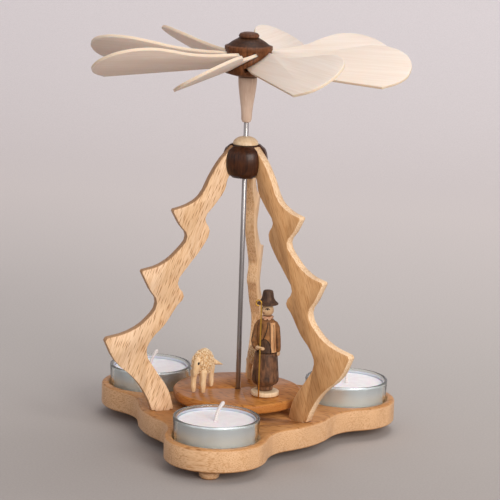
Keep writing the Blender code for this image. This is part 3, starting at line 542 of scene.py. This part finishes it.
def tube(name, points, radii, sides=12):
    """A round limb or wire through points, with a radius in millimetres at each and domed ends."""
    pts = [Vector(p) for p in points]
    radii = [r * MM for r in radii]
    first = (pts[1] - pts[0]).normalized()
    last = (pts[-1] - pts[-2]).normalized()
    run = [(pts[0] - first * radii[0] * 0.7, radii[0] * 0.55), *zip(pts, radii),
           (pts[-1] + last * radii[-1] * 0.7, radii[-1] * 0.55)]
    bm = bmesh.new()
    rings = []
    side = Vector((1.0, 0.0, 0.0))
    for i, (point, radius) in enumerate(run):
        along = (run[min(i + 1, len(run) - 1)][0] - run[max(i - 1, 0)][0]).normalized()
        side = (side - along * side.dot(along)).normalized()
        over = along.cross(side)
        rings.append([bm.verts.new(point + (side * cos(a) + over * sin(a)) * radius)
                      for a in (2 * pi * k / sides for k in range(sides))])
    for one, two in zip(rings, rings[1:]):
        for k in range(sides):
            m = (k + 1) % sides
            bm.faces.new((one[k], one[m], two[m], two[k]))
    tips = (run[0][0] - first * radii[0] * 0.3, run[-1][0] + last * radii[-1] * 0.3)
    for ring, tip in zip((rings[0], rings[-1]), tips):
        end = bm.verts.new(tip)
        for k in range(sides):
            bm.faces.new((ring[k], ring[(k + 1) % sides], end))
    return mesh_of(name, bm, True)


def in_mm(*points):
    """Places given in millimetres, as vectors in metres."""
    return [Vector([c * MM for c in point]) for point in points]


def moved(mesh, matrix):
    """The same mesh, moved."""
    mesh.transform(matrix)
    return mesh


def lump(radii, place, detail=3, shape=None):
    """A rounded body of three half-lengths in millimetres at a place; shape may move each of its points."""
    bm = bmesh.new()
    bmesh.ops.create_icosphere(bm, subdivisions=detail, radius=1.0)
    for v in bm.verts:
        p = Vector([c * r * MM for c, r in zip(v.co, radii)])
        v.co = shape(p) if shape else p
    return moved(mesh_of("lump", bm), Matrix.Translation(place))


def joined(name, meshes):
    """Several meshes as one."""
    bm = bmesh.new()
    for mesh in meshes:
        bm.from_mesh(mesh)
    return mesh_of(name, bm)


def middle(cad):
    """The middle of a CAD node's box."""
    low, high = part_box(cad)
    return (low + high) / 2


def new_tree(name, sockets):
    """A Geometry Nodes tree with a geometry in and out and named inputs."""
    tree = bpy.data.node_groups.new(name, "GeometryNodeTree")
    tree.interface.new_socket("Geometry", in_out="INPUT", socket_type="NodeSocketGeometry")
    for label, kind in sockets.items():
        tree.interface.new_socket(label, in_out="INPUT", socket_type="NodeSocket" + kind)
    tree.interface.new_socket("Geometry", in_out="OUTPUT", socket_type="NodeSocketGeometry")
    return tree, node(tree, "NodeGroupInput").outputs


def grown(name, mesh, tree, values):
    """A mesh run through a Geometry Nodes tree, as a plain mesh."""
    obj = link(name, mesh)
    modifier = obj.modifiers.new(tree.name, "NODES")
    modifier.node_group = tree
    for item in tree.interface.items_tree:
        if item.in_out == "INPUT" and item.name in values:
            modifier[item.identifier] = values[item.name]
    return bake(obj)


def make_stand():
    """The base with its feet, the legs, the head and the bearings."""
    eased("base_board", "base_plate", base_finish, "stand", 0.4, 28.0)
    for side in SIDES:
        eased("button_foot_" + side, "foot_" + side, base_finish, "stand", 0.3, 28.0)
    for side in LEG_AZIMUTHS:
        eased("fir_leg_" + side, "leg_" + side, leg_finish[side], "stand", 0.28, 40.0)
    eased("head_knob", "head_ball", walnut, "stand", 0.3)
    eased("guide_ring", "guide_cap", maple, "stand", 0.25)
    eased("thrust_bearing", "thrust_cup", steel, "stand", 0.2)


def make_spindle():
    """The shaft with the turntable, and the turned pieces that carry the blades."""
    eased("spindle_rod", "shaft", steel, "wheel", 0.1, 50.0)
    eased("turning_disc", "turntable", disc_finish, "wheel", 0.3, 28.0)
    eased("taper_sleeve", "sleeve", sleeve_maple, "wheel", 0.25)
    eased("rotor_hub", "hub", hub_walnut, "wheel", 0.25)
    eased("rotor_button", "hub_button", knob_walnut, "wheel", 0.2)


def blade_blank():
    """A flat blade: one straight edge, one S-curved edge and a broad round tip, with a square root."""
    span = BLADE_REACH - BLADE_ROOT
    curved = [
        (0.08, BLADE_NECK), (0.20, 0.43 * BLADE_RISE), (0.38, 0.56 * BLADE_RISE), (0.54, 0.82 * BLADE_RISE),
        (0.70, BLADE_RISE), (0.87, 0.88 * BLADE_RISE), (0.97, 0.50 * BLADE_RISE), (1.0, 0.08 * BLADE_RISE),
        (0.978, -0.46 * BLADE_DROP)]
    straight = [(0.865, -BLADE_DROP), (0.13, -BLADE_HEEL), (0.0, -0.7 * BLADE_HEEL)]
    shares = [(0.0, BLADE_NECK)] + curved + straight
    curve = bpy.data.curves.new("blade outline", "CURVE")
    curve.dimensions = "2D"
    curve.fill_mode = "BOTH"
    curve.extrude = BLADE_THICK / 2
    curve.resolution_u = 8
    spline = curve.splines.new("BEZIER")
    spline.bezier_points.add(len(shares) - 1)
    for point, (share, y) in zip(spline.bezier_points, shares):
        point.co = (BLADE_ROOT + share * span, y, 0.0)
        kind = "AUTO" if (share, y) in curved else "VECTOR"
        point.handle_left_type = kind
        point.handle_right_type = kind
    spline.use_cyclic_u = True
    bm = simplified(bake(link("blade outline", curve)))
    return bevelled("blade blank", mesh_of("blade blank", bm, True), 0.2, 50.0)


def make_blades():
    """Eight like blades round the hub, each pitched about its own length."""
    tree, given = new_tree("ring of blades", {
        "Count": "Int", "Phase": "Float", "Pitch": "Float", "Height": "Float", "Finish": "Material"})
    flat = node(tree, "GeometryNodeStoreNamedAttribute", {
        "Geometry": given["Geometry"], "Name": "grain", "Value": node(tree, "GeometryNodeInputPosition")},
        data_type="FLOAT_VECTOR", domain="POINT")
    level = node(tree, "ShaderNodeCombineXYZ", {"Z": given["Height"]})
    spots = node(tree, "GeometryNodePoints", {"Count": given["Count"], "Position": level})
    number = node(tree, "GeometryNodeInputIndex")
    step = node(tree, "ShaderNodeMath", {0: 2 * pi, 1: given["Count"]}, operation="DIVIDE")
    turn = node(tree, "ShaderNodeMath", {0: number, 1: step, 2: given["Phase"]}, operation="MULTIPLY_ADD")
    stance = node(tree, "ShaderNodeCombineXYZ", {"X": given["Pitch"], "Z": turn})
    ring = node(tree, "GeometryNodeInstanceOnPoints", {"Points": spots, "Instance": flat, "Rotation": stance})
    # Far enough apart that the blades' grain differs
    figure = node(tree, "ShaderNodeMath", {0: number, 1: 7.31}, operation="MULTIPLY")
    marked = node(tree, "GeometryNodeStoreNamedAttribute", {
        "Geometry": ring, "Name": "blade", "Value": figure}, data_type="FLOAT", domain="INSTANCE")
    solid = node(tree, "GeometryNodeRealizeInstances", {"Geometry": marked})
    dressed = node(tree, "GeometryNodeSetMaterial", {"Geometry": solid, "Material": given["Finish"]})
    node(tree, "NodeGroupOutput", {"Geometry": dressed})
    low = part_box("blade_1")[0].z
    height = low + BLADE_DROP * sin(BLADE_PITCH) + BLADE_THICK / 2 * cos(BLADE_PITCH)
    mesh = grown("blade ring", blade_blank(), tree, {
        "Count": BLADE_COUNT, "Phase": radians(BLADE_PHASE), "Pitch": BLADE_PITCH, "Height": height,
        "Finish": veneer})
    solids = ["blade_%d" % (i + 1) for i in range(BLADE_COUNT)]
    piece("rotor_blades", mesh, veneer, "wheel", solids)


def make_tealights():
    """The glass cups, and in each an aluminium cup, its wax and its wick."""
    for side in SIDES:
        body = "tealight_" + side
        low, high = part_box("glass_cup_" + side)
        axis = ((low.x + high.x) / 2, (low.y + high.y) / 2)
        foot, rim = low.z, high.z
        outer = (high.x - low.x) / 2
        low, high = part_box("tealight_cup_" + side)
        under, lip = low.z, high.z
        tin = (high.x - low.x) / 2 + TIN_FILL
        floor = under - 0.3 * MM
        wall = rounded([
            (0, floor), (tin + 0.2 * MM, floor), (outer - 1.65 * MM, rim), (outer, rim),
            (outer - 0.9 * MM, foot + 3.0 * MM), (outer - 2.0 * MM, foot), (0, foot)], 1.2 * MM, 5)
        cup = piece("glass_" + side, lathe("glass cup", wall, 96, axis), glass, "glass_" + side,
                    ["glass_cup_" + side])
        cup.visible_shadow = False
        shell = [(0, under + 0.5 * MM)]
        shell += [(tin - inset * MM, under + up * MM) for inset, up in ((3.0, 0.5), (2.4, 0.4), (0.4, 0.9))]
        shell += [(tin - inset * MM, lip - down * MM) for inset, down in (
            (0.4, 0.5), (0.5, 0.1), (0.2, 0.0), (0.0, 0.2), (0.0, 0.6), (0.12, 0.8))]
        shell += [(tin - 0.12 * MM, under + 1.2 * MM), (tin - 0.6 * MM, under), (0, under)]
        piece("tin_" + side, lathe("tealight cup", shell, 96, axis), aluminium, body,
              ["tealight_cup_" + side])
        low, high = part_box("wax_" + side)
        edge = (high.x - low.x) / 2 + TIN_FILL
        top = high.z
        pool = [(0, top - 0.25 * MM), (2.0 * MM, top - 0.1 * MM), (5.0 * MM, top)]
        pool += [(edge - inset * MM, top + up * MM) for inset, up in (
            (2.0, -0.05), (0.8, 0.0), (0.2, 0.25), (0.0, 0.25))]
        pool += [(edge, low.z), (0, low.z)]
        piece("wax_pool_" + side, lathe("wax", pool, 72, axis), wax, body, ["wax_" + side])
        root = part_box("wick_" + side)[0].z
        path = [(axis[0] + WICK_LEAN[side] * across * MM, axis[1], root + up * MM) for across, up in WICK_RUN]
        piece("wick_braid_" + side, tube("wick", path, WICK_RADII), wick_cotton, body, ["wick_" + side],
              60.0)


def make_shepherd():
    """Turned and carved shepherd: skirt, bell-shaped jacket with arms, ball head, hat and a wire crook."""
    base = middle("shepherd_base")
    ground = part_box("shepherd_base")[0].z
    stand = Matrix.Translation((base.x, base.y, ground)) @ Matrix.Rotation(radians(SHEPHERD_TURN), 4, "Z")

    def dress(name, mesh, mat, nodes=()):
        """A piece of the shepherd, put in its place."""
        piece(name, moved(mesh, stand), mat, "wheel", nodes, 40.0)

    plinth = [(0, 2.5), (7.5, 2.5), (7.5, 0), (0, 0)]
    dress("shepherd_plinth", turned("plinth", plinth, 0.8), maple, ["shepherd_base"])
    skirt = [(0, 23.6), (6.0, 23.6), (6.7, 15.7), (7.3, 8.6), (6.4, 6.5), (4.1, 5.4), (4.2, 2.8), (0, 2.8)]
    dress("shepherd_gown", turned("gown", skirt, 0.9), gown_brown, ["shepherd_skirt"])

    # The jacket's outline as (r, z) in millimetres, and its depth as a share of its width
    trunk = [(2.6, 43.1), (2.8, 41.9), (4.5, 40.6), (5.0, 38.0), (5.4, 31.0), (5.9, 23.9)]
    flatness = 0.88

    def on_trunk(turn, z, lift):
        """A place on the jacket: its turn from the view's middle, and its height and lift in millimetres."""
        a = radians(VIEW_FRONT + turn)
        r = trunk[-1][0]
        for (r0, z0), (r1, z1) in zip(trunk, trunk[1:]):
            if z >= z1:
                r = r0 + (r1 - r0) * (z0 - z) / (z0 - z1)
                break
        r += lift
        return Vector((r * cos(a), flatness * r * sin(a), z)) * MM

    def panel(name, low, high, left, right, lift, rows=12, columns=10):
        """A thin patch on the jacket between two edges, each a turn that follows the height."""
        bm = bmesh.new()
        sheets = []
        for depth in (lift, -0.4):
            sheet = []
            for i in range(rows + 1):
                z = low + (high - low) * i / rows
                turns = [left(z) + (right(z) - left(z)) * j / columns for j in range(columns + 1)]
                sheet.append([bm.verts.new(on_trunk(turn, z, depth)) for turn in turns])
            sheets.append(sheet)
        outer, inner = sheets
        for i in range(rows):
            for j in range(columns):
                bm.faces.new((outer[i][j], outer[i][j + 1], outer[i + 1][j + 1], outer[i + 1][j]))
                bm.faces.new((inner[i][j], inner[i + 1][j], inner[i + 1][j + 1], inner[i][j + 1]))
        rim = [(0, j) for j in range(columns)] + [(i, columns) for i in range(rows)]
        rim += [(rows, j) for j in range(columns, 0, -1)] + [(i, 0) for i in range(rows, 0, -1)]
        for (i, j), (k, m) in zip(rim, rim[1:] + rim[:1]):
            bm.faces.new((outer[i][j], inner[i][j], inner[k][m], outer[k][m]))
        return mesh_of(name, bm, True)

    jacket = turned("jacket", [(0, 43.1)] + trunk + [(0, 23.9)], 1.1, 64)
    jacket.transform(Matrix.Diagonal((1.0, flatness, 1.0, 1.0)))
    dress("shepherd_coat", jacket, coat_brown, ["shepherd_jacket"])

    # The coat opens in an arch over the skirt, and a paler front shows beside it; millimetres and degrees
    foot, hem, arch_rise = 24.0, 23.95, 7.4
    arch_middle, arch_half, front_end = -14, 38.0, 62.0

    def arch(z):
        return arch_half * sqrt(max(0.0, 1 - ((z - foot) / arch_rise) ** 2))

    def arch_left(z):
        return arch_middle - arch(z)

    def arch_right(z):
        return arch_middle + arch(z)

    def front_edge(z):
        return 21.0 - 0.3 * (z - foot)

    dress("coat_front", panel("front", 24.2, 40.2, front_edge, lambda z: front_end, 0.22), vest_wood)
    dress("coat_opening", panel("opening", hem, 31.3, arch_left, arch_right, 0.12), felt_brown)
    levels = [hem + arch_rise * sin(radians(a)) for a in range(0, 91, 10)]
    seams = [
        [on_trunk(arch_left(z), z, 0.2) for z in levels]
        + [on_trunk(arch_right(z), z, 0.2) for z in levels[-2::-1]],
        [on_trunk(front_edge(z), z, 0.2) for z in range(24, 41, 2)],
        [on_trunk(42.0, z, 0.18) for z in range(25, 40, 2)],
        [on_trunk(front_end, z, 0.2) for z in range(25, 40, 2)],
        [on_trunk(4 - 9 * t - 18 * t * t, 40.4 - 9.5 * t, 0.1) for t in (0, 0.25, 0.5, 0.75, 1)],
        [on_trunk(-40 + 6 * t, 39.6 - 6 * t, 0.1) for t in (0, 0.33, 0.66, 1)]]
    lines = joined("seams", [tube("seam", run, [0.2] * len(run), 6) for run in seams])
    dress("coat_seams", lines, ink)

    right_arm = in_mm((4.4, 0.3, 39.6), (5.5, 0.2, 37.4), (6.1, 0.0, 32.0), (6.5, -0.3, 27.0),
                      (6.6, -0.4, 25.0))
    dress("sleeve_right", tube("sleeve_right", right_arm, [1.3, 1.55, 1.6, 1.55, 1.35], 16), coat_brown,
          ["shepherd_arm_left"])
    left_arm = in_mm((-4.4, 0.3, 39.6), (-5.5, 0.1, 37.4), (-6.2, -0.6, 33.0), (-6.2, -2.2, 29.4),
                     (-5.0, -4.6, 27.6), (-3.9, -6.4, 27.3))
    dress("sleeve_left", tube("sleeve_left", left_arm, [1.3, 1.55, 1.7, 1.75, 1.6, 1.4], 16), coat_brown,
          ["shepherd_arm_right"])
    # The hand on the staff, then the one that rests
    palm, fingers, thumb = in_mm((-2.4, -8.1, 27.4), (0.3, -8.7, 27.2), (-0.9, -9.9, 28.0))
    fist = joined("fist", [
        lump((1.3, 1.5, 1.2), palm), lump((1.2, 1.3, 1.0), fingers), lump((1.6, 0.6, 0.6), thumb)])
    dress("staff_hand", fist, face_wood, ["shepherd_hand_right"])
    palm, thumb = in_mm((6.9, -0.5, 23.4), (6.6, -1.5, 23.2))
    resting = joined("resting", [lump((0.9, 1.1, 1.3), palm), lump((0.4, 0.4, 0.8), thumb)])
    dress("resting_hand", resting, face_wood, ["shepherd_hand_left"])

    skull = Vector((0.0, 0.0, 46.4))

    def on_face(turn, rise, lift=0.0):
        """A place on the ball head: its turn from the view's middle and its height over the ball's."""
        a = radians(VIEW_FRONT + turn)
        r = HEAD_BALL + lift
        across = sqrt(max(0.0, r * r - rise * rise))
        return (skull + Vector((across * cos(a), across * sin(a), rise))) * MM

    ball = lump((HEAD_BALL,) * 3, skull * MM, 5)
    nose = lump((0.5, 0.5, 0.6), on_face(FACE_TURN, -0.1, -0.05))
    dress("shepherd_face", joined("face", [ball, nose]), face_wood, ["shepherd_head"])
    marks = []
    for side in (-1, 1):
        eye = FACE_TURN + side * EYE_TURN
        brow = [on_face(eye + t, 1.35 - 0.0012 * t * t) for t in (-22, -11, 0, 11, 22)]
        marks.append(tube("brow", brow, [0.2, 0.3, 0.34, 0.3, 0.2], 6))
        marks.append(lump((0.38, 0.38, 0.48), on_face(eye, 0.85), 2))
    dress("face_marks", joined("marks", marks), ink)
    lips = [on_face(FACE_TURN + t, -1.2 + 0.0008 * t * t, -0.02) for t in (-9, 0, 9)]
    dress("face_mouth", tube("mouth", lips, [0.22, 0.32, 0.22], 8), mouth_red)
    roll = [((2.6 + 0.75 * cos(a)) * MM, (42.6 + 0.75 * sin(a)) * MM)
            for a in (2 * pi * i / 12 for i in range(12))]
    scarf = [lathe("scarf", roll, 40, closed=True)]
    scarf += [lump((0.9, 0.9, 0.7), on_trunk(turn, 42.0, 0.55)) for turn in (-22, 14)]
    dress("shepherd_scarf", joined("scarf", scarf), scarf_wood)
    hat = [(0, 57.2), (2.5, 57.1), (2.9, 55.4), (3.3, 52.8), (4.3, 51.3), (5.7, 50.1), (5.6, 49.6),
           (4.2, 49.9), (2.9, 50.6), (0, 50.8)]
    dress("shepherd_felt_hat", turned("hat", hat, 0.7), felt_brown, ["shepherd_hat"])
    wire = [(-0.8, -9.3, z) for z in (0.4, 12.0, 26.0, 40.0, 50.0)]
    wire += [(-2.3 + 1.5 * cos(a), -9.3, 51.9 + 1.5 * sin(a))
             for a in (radians(d) for d in range(-30, 271, 20))]
    dress("shepherd_crook", tube("crook", in_mm(*wire), [0.42] * len(wire), 8), brass, ["shepherd_staff"])


def fleece_tree():
    """Curled shavings scattered over a body, each a short arc of wood stood on the surface."""
    tree, given = new_tree("curled fleece", {
        "Spacing": "Float", "Curl": "Float", "Thickness": "Float", "Seed": "Int", "Finish": "Material"})
    spots = node(tree, "GeometryNodeDistributePointsOnFaces", {
        "Mesh": given["Geometry"], "Distance Min": given["Spacing"], "Density Max": 2.0e6,
        "Seed": given["Seed"]}, distribute_method="POISSON")
    arc = node(tree, "GeometryNodeCurveArc", {
        "Resolution": 7, "Radius": given["Curl"], "Sweep Angle": radians(265)})
    section = node(tree, "GeometryNodeCurvePrimitiveCircle", {"Resolution": 4, "Radius": given["Thickness"]})
    curl = node(tree, "GeometryNodeCurveToMesh", {"Curve": arc, "Profile Curve": section, "Fill Caps": True})
    roll = node(tree, "FunctionNodeRandomValue", {
        "Min": (-0.9, -0.9, 0.0), "Max": (0.9, 0.9, 6.28), "Seed": given["Seed"]}, data_type="FLOAT_VECTOR")
    turn = node(tree, "FunctionNodeEulerToRotation", {"Euler": roll})
    stance = node(tree, "FunctionNodeRotateRotation", {
        "Rotation": spots.outputs["Rotation"], "Rotate By": turn}, rotation_space="LOCAL")
    size = node(tree, "FunctionNodeRandomValue", {"Min": 0.75, "Max": 1.3, "Seed": given["Seed"]})
    curls = node(tree, "GeometryNodeInstanceOnPoints", {
        "Points": spots, "Instance": curl, "Rotation": stance, "Scale": size})
    solid = node(tree, "GeometryNodeRealizeInstances", {"Geometry": curls})
    # Marks the curls, so that the body between them can take painted shade
    tipped = node(tree, "GeometryNodeStoreNamedAttribute", {
        "Geometry": solid, "Name": "curl", "Value": 1.0}, data_type="FLOAT", domain="POINT")
    both = node(tree, "GeometryNodeJoinGeometry", {"Geometry": tipped})
    feed(tree, both, {"Geometry": given["Geometry"]})
    dressed = node(tree, "GeometryNodeSetMaterial", {"Geometry": both, "Material": given["Finish"]})
    node(tree, "NodeGroupOutput", {"Geometry": dressed})
    return tree


def make_sheep(name, heading, tail_root, tail_turn, seed, curls):
    """A carved sheep: curled fleece, a long smooth face, four stout legs and a pointed tail.

    The tail's root is a place in millimetres, and its turn is in degrees from straight back.
    """
    place = middle(name + "_body")
    feet = ["%s_leg_%d" % (name, i + 1) for i in range(4)]
    ground = min(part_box(foot)[0].z for foot in feet)
    stand = Matrix.Translation((place.x, place.y, ground)) @ Matrix.Rotation(radians(heading), 4, "Z")

    def carve(suffix, mesh, cad):
        """A bare piece of the sheep."""
        piece(name + suffix, mesh, lime_wood, "wheel", cad)

    def narrowed(p):
        """The trunk is slimmer above."""
        rise = p.z / (7.2 * MM)
        return Vector((p.x * (1 - 0.10 * rise), p.y * (1 - 0.16 * rise), p.z))

    def browed(p):
        """The face is broader above."""
        return Vector((p.x, p.y * (1 + 0.04 * p.z / MM), p.z))

    chest, throat, head = in_mm((0, 0, 15.2), (8.7, 0, 16.8), (11.3, 0, 15.2))
    trunk = lump((9.9, 5.2, 6.7), chest, 4, narrowed)
    neck = lump((3.3, 3.2, 5.2), throat)
    wool = grown("fleece", joined("wool", [trunk, neck]), curls, {
        "Spacing": 0.8 * MM, "Curl": 0.58 * MM, "Thickness": 0.19 * MM, "Seed": seed, "Finish": fleece_wood})
    piece(name + "_fleece", moved(wool, stand), fleece_wood, "wheel", [name + "_body"], 40)

    look = (Matrix.Translation(head) @ Matrix.Rotation(radians(HEAD_TURN), 4, "Z")
            @ Matrix.Rotation(radians(HEAD_TILT), 4, "Y"))
    face = [lump((2.0, 1.7, 5.6), (0.0, 0.0, 0.0), 4, browed)]
    face += [lump((0.6, 0.6, 1.4), ear) for ear in in_mm((-1.0, -2.3, 2.2), (-1.0, 2.3, 2.2))]
    carve("_face", moved(joined("face", face), stand @ look), [name + "_head"])
    eyes = [lump((0.65, 0.45, 0.85), eye, 2) for eye in in_mm((0.5, -1.65, 1.9), (0.5, 1.65, 1.9))]
    piece(name + "_eyes", moved(joined("eyes", eyes), stand @ look), ink, "wheel")
    legs = []
    for x, y in ((7.4, 2.7), (7.4, -2.7), (-7.4, 2.7), (-7.4, -2.7)):
        run = in_mm((x, y, 0.7), (x, y, 3.5), (x * 0.99, y, 7.0), (x * 0.95, y * 0.95, 11.5))
        legs.append(tube("leg", run, [1.25, 1.4, 1.5, 2.2], 10))
    stumps = joined("legs", legs)
    for v in stumps.vertices:
        v.co.z = max(v.co.z, 0.0)
    carve("_legs", moved(stumps, stand), feet)
    way = Vector((-cos(radians(tail_turn)), sin(radians(tail_turn)), -0.3))
    run = [(Vector(tail_root) + way * s) * MM for s in (0.0, 2.0, 4.0, 5.8, 7.2)]
    tail = tube("tail", run, [2.2, 1.8, 1.2, 0.6, 0.15], 10)
    carve("_tail_tip", moved(tail, stand), [name + "_tail"])


def turned_pair(one, two, degrees):
    """Two axes of a frame turned in their plane, the first towards the second."""
    c, s = cos(radians(degrees)), sin(radians(degrees))
    return one * c + two * s, two * c - one * s


def make_camera():
    """The view of the photograph."""
    a, h = radians(VIEW_AZIMUTH), radians(VIEW_HEIGHT)
    back = Vector((sin(a) * cos(h), -cos(a) * cos(h), sin(h)))
    right = Vector((cos(a), sin(a), 0.0))
    up = back.cross(right)
    eye = AIM + back * VIEW_DISTANCE
    right, back = turned_pair(right, back, VIEW_YAW)
    up, back = turned_pair(up, back, VIEW_PITCH)
    right, up = turned_pair(right, up, VIEW_ROLL)
    lens = bpy.data.cameras.new("view")
    lens.sensor_width = SENSOR_WIDTH
    lens.lens = VIEW_FOCAL * SENSOR_WIDTH / PICTURE_WIDTH
    lens.clip_start = 0.05
    lens.clip_end = 20.0
    view = link("view", lens)
    stance = Matrix((right, up, back)).transposed().to_4x4()
    stance.translation = eye
    view.matrix_world = stance
    bpy.context.scene.camera = view


def make_studio():
    """Seamless grey paper, a large soft key from the right, weak fills and an even room."""
    bends = [pi / 2 * i / 16 for i in range(1, 17)]
    sweep = [(-3.0, 0.0), (PAPER_FLAT, 0.0)]
    sweep += [(PAPER_FLAT + PAPER_BEND * sin(a), PAPER_BEND - PAPER_BEND * cos(a)) for a in bends]
    sweep += [(PAPER_FLAT + PAPER_BEND, 4.0)]
    bm = bmesh.new()
    rows = [[bm.verts.new((x, y, z)) for x in (-4.0, 4.0)] for y, z in sweep]
    for one, two in zip(rows, rows[1:]):
        bm.faces.new((one[0], one[1], two[1], two[0]))
    mesh = mesh_of("studio_paper", bm)
    mesh.materials.append(studio_paper())
    mesh.shade_smooth()
    link("studio_paper", mesh)

    for name, (azimuth, height, distance, size, power, colour) in LAMPS.items():
        light = bpy.data.lights.new(name, "AREA")
        light.shape = "SQUARE"
        light.size = size
        light.energy = power
        light.color = srgb(colour)[:3]
        a, h = radians(azimuth), radians(height)
        away = Vector((cos(a) * cos(h), sin(a) * cos(h), sin(h)))
        lamp = link(name, light)
        lamp.location = AIM + away * distance
        lamp.rotation_euler = away.to_track_quat("Z", "Y").to_euler()

    world = bpy.data.worlds.new("studio")
    world.use_nodes = True
    room = world.node_tree
    ray = node(room, "ShaderNodeLightPath").outputs
    shown = ray["Is Camera Ray"]
    for kind in ("Is Glossy Ray", "Is Transmission Ray"):
        shown = node(room, "ShaderNodeMath", {0: shown, 1: ray[kind]}, operation="MAXIMUM")
    level = node(room, "ShaderNodeMapRange", {"Value": shown, "To Min": ROOM_LIGHT, "To Max": ROOM_SHOWN})
    feed(room, room.nodes["Background"], {"Color": "#e6e2e4", "Strength": level})
    bpy.context.scene.world = world
    bpy.context.scene.view_settings.view_transform = "Standard"


make_stand()
make_spindle()
make_blades()
make_tealights()
make_shepherd()
CURLS = fleece_tree()
make_sheep("front_sheep", FRONT_SHEEP_HEADING, (-8.4, 1.2, 14.0), 70.0, 3, CURLS)
make_sheep("rear_sheep", REAR_SHEEP_HEADING, (-8.4, 0.0, 14.0), 20.0, 8, CURLS)
make_camera()
make_studio()
